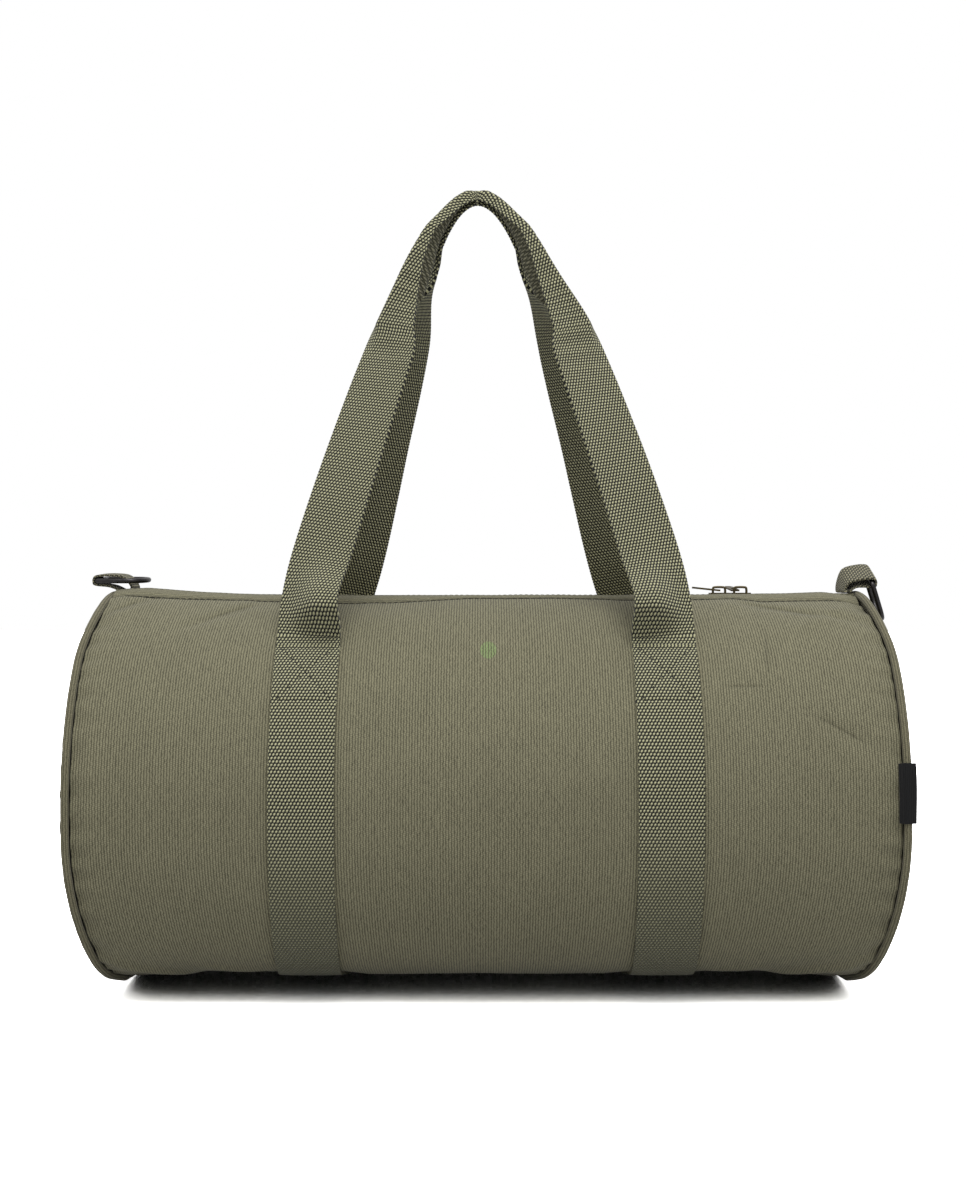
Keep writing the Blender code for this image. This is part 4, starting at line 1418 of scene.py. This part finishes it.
# From one corner of the box to another, corners as (across, down) in shares
def boxStitchPath(side, front, begin, end):
    path = []
    for index in range(13):
        across, down = (one + (two - one) * index / 12 for one, two in zip(begin, end))
        angle = strapForm["boxTop"] + (strapForm["boxBottom"] - strapForm["boxTop"]) * down
        turn = angle if front else 360 - angle
        path.append((strapPoint(side, across * boxHalf, arcAt(turn), -stitchSink), sectionOut(turn)))
    return path


boxCorners = (((-1, 0), (1, 0)), ((-1, 1), (1, 1)), ((-1, 0), (1, 1)), ((1, 0), (-1, 1)))
boxPaths = [boxStitchPath(side, front, begin, end)
            for side in (-1, 1) for front in (True, False) for begin, end in boxCorners]
stitchRow("strap_box_stitches", boxPaths, darkThreadAndSeamShadow, boxStitch)

facingPaths, seamShadowPaths = [], []
for front in (True, False):
    turn = seamAngle if front else 360 - seamAngle
    facingPaths.append([(facingPoint(x, zipForm["stitchShare"], front), upwards) for x in zipStations()])
    seamShadowPaths.append([(skinPoint(turn, canvasLift(x, turn) - 0.0006, x), upwards) for x in zipStations()])
stitchRow("facing_stitches", facingPaths, thread, facingStitch)
stitchRow("zip_seam_shadow_cord", seamShadowPaths, darkThreadAndSeamShadow, seamShadowCord)

tabPaths = []
for side, name in bothSides:
    for x in (endTab["start"] + 0.0018, endTab["end"] - 0.0018):
        height = endTab["top"] - endTab["crown"] * 0.5
        tabPaths.append([(Vector((side * x, y, height)), upwards) for y in (-0.0100, 0.0, 0.0100)])
stitchRow("end_tab_stitches", tabPaths, thread, facingStitch)
print("stitches made")


# Floor, light and camera

stageForm = {
    "size": 24.0,
    "floorGrey": 0.58,
    "floorShown": 4.5,          # what the camera sees of the floor, bright enough to go white
    "paintedShadowReach": 0.12,
    "paintedShadowOpen": 0.19,
    "paintedShadowPower": 2.2,
    "skyRange": (-0.2, 0.9),    # heights of a ray between which the sky brightens
    "skyLow": 0.61,
    "skyTop": 1.05,
    "keyPower": 26.0,
    "keySize": 1.3,
    "keyPlace": (0.15, -1.0, 2.1),
    "keyAim": (0, 0, 0.15),
    "lens": 50,
}


def makeFloor():
    selectOnly()
    bpy.ops.mesh.primitive_plane_add(size=stageForm["size"], location=(0, 0, 0))
    floor = bpy.context.object
    floor.name = "floor"
    material = bpy.data.materials.new("floor_white")
    material.use_nodes = True
    tree = material.node_tree
    tree.nodes.clear()
    # The camera sees the floor's real light times a painted contact shadow from ambient occlusion, so it goes white
    # away from the bag
    nearby = newNode(tree, "AmbientOcclusion", {"Distance": stageForm["paintedShadowReach"]})
    nearby.samples = 16
    shade = divide(nearby.outputs["AO"], stageForm["paintedShadowOpen"], clamp=True)
    shown = multiply(maths("POWER", shade, stageForm["paintedShadowPower"]), stageForm["floorShown"])
    direct = newNode(tree, "LightPath").outputs["Is Camera Ray"]
    level = add(multiply(shown, direct), multiply(subtract(1.0, direct), stageForm["floorGrey"]))
    diffuse = newNode(tree, "BsdfDiffuse", {"Color": grey(level)})
    newNode(tree, "OutputMaterial", {"Surface": diffuse.outputs[0]})
    floor.data.materials.append(material)


# White behind the bag, a soft sky for everything else
def makeWorld():
    world = bpy.data.worlds.new("studio")
    bpy.context.scene.world = world
    world.use_nodes = True
    tree = world.node_tree
    tree.nodes.clear()
    height = splitVector(newNode(tree, "TexCoord").outputs["Generated"])[2]
    low, high = stageForm["skyRange"]
    ramp = newNode(tree, "MapRange", {"Value": height, "From Min": low, "From Max": high,
                                      "To Min": stageForm["skyLow"], "To Max": stageForm["skyTop"]})
    lit = newNode(tree, "Background", {"Strength": ramp.outputs[0]})
    shown = newNode(tree, "Background", {"Color": (1, 1, 1, 1)})
    rays = newNode(tree, "LightPath").outputs
    direct = maths("MAXIMUM", rays["Is Camera Ray"], rays["Is Transmission Ray"])
    mix = newNode(tree, "MixShader", {0: direct, 1: lit.outputs[0], 2: shown.outputs[0]})
    newNode(tree, "OutputWorld", {"Surface": mix.outputs[0]})


def makeLamp():
    selectOnly()
    bpy.ops.object.light_add(type="AREA", location=stageForm["keyPlace"])
    lamp = bpy.context.object
    lamp.data.shape = "DISK"
    lamp.data.size = stageForm["keySize"]
    lamp.data.energy = stageForm["keyPower"]
    aim = Vector(stageForm["keyAim"]) - lamp.location
    lamp.rotation_euler = aim.to_track_quat("-Z", "Y").to_euler()


makeFloor()
makeWorld()
makeLamp()

cameraData = bpy.data.cameras.new("camera")
camera = bpy.data.objects.new("camera", cameraData)
bpy.context.scene.collection.objects.link(camera)
camera.location = cameraPlace
camera.rotation_euler = (math.radians(90), 0, 0)
cameraData.lens = stageForm["lens"]
cameraData.sensor_width = 36
cameraData.sensor_fit = "AUTO"
bpy.context.scene.camera = camera
bpy.context.scene.view_settings.view_transform = "Standard"
bpy.context.scene.view_settings.look = "None"
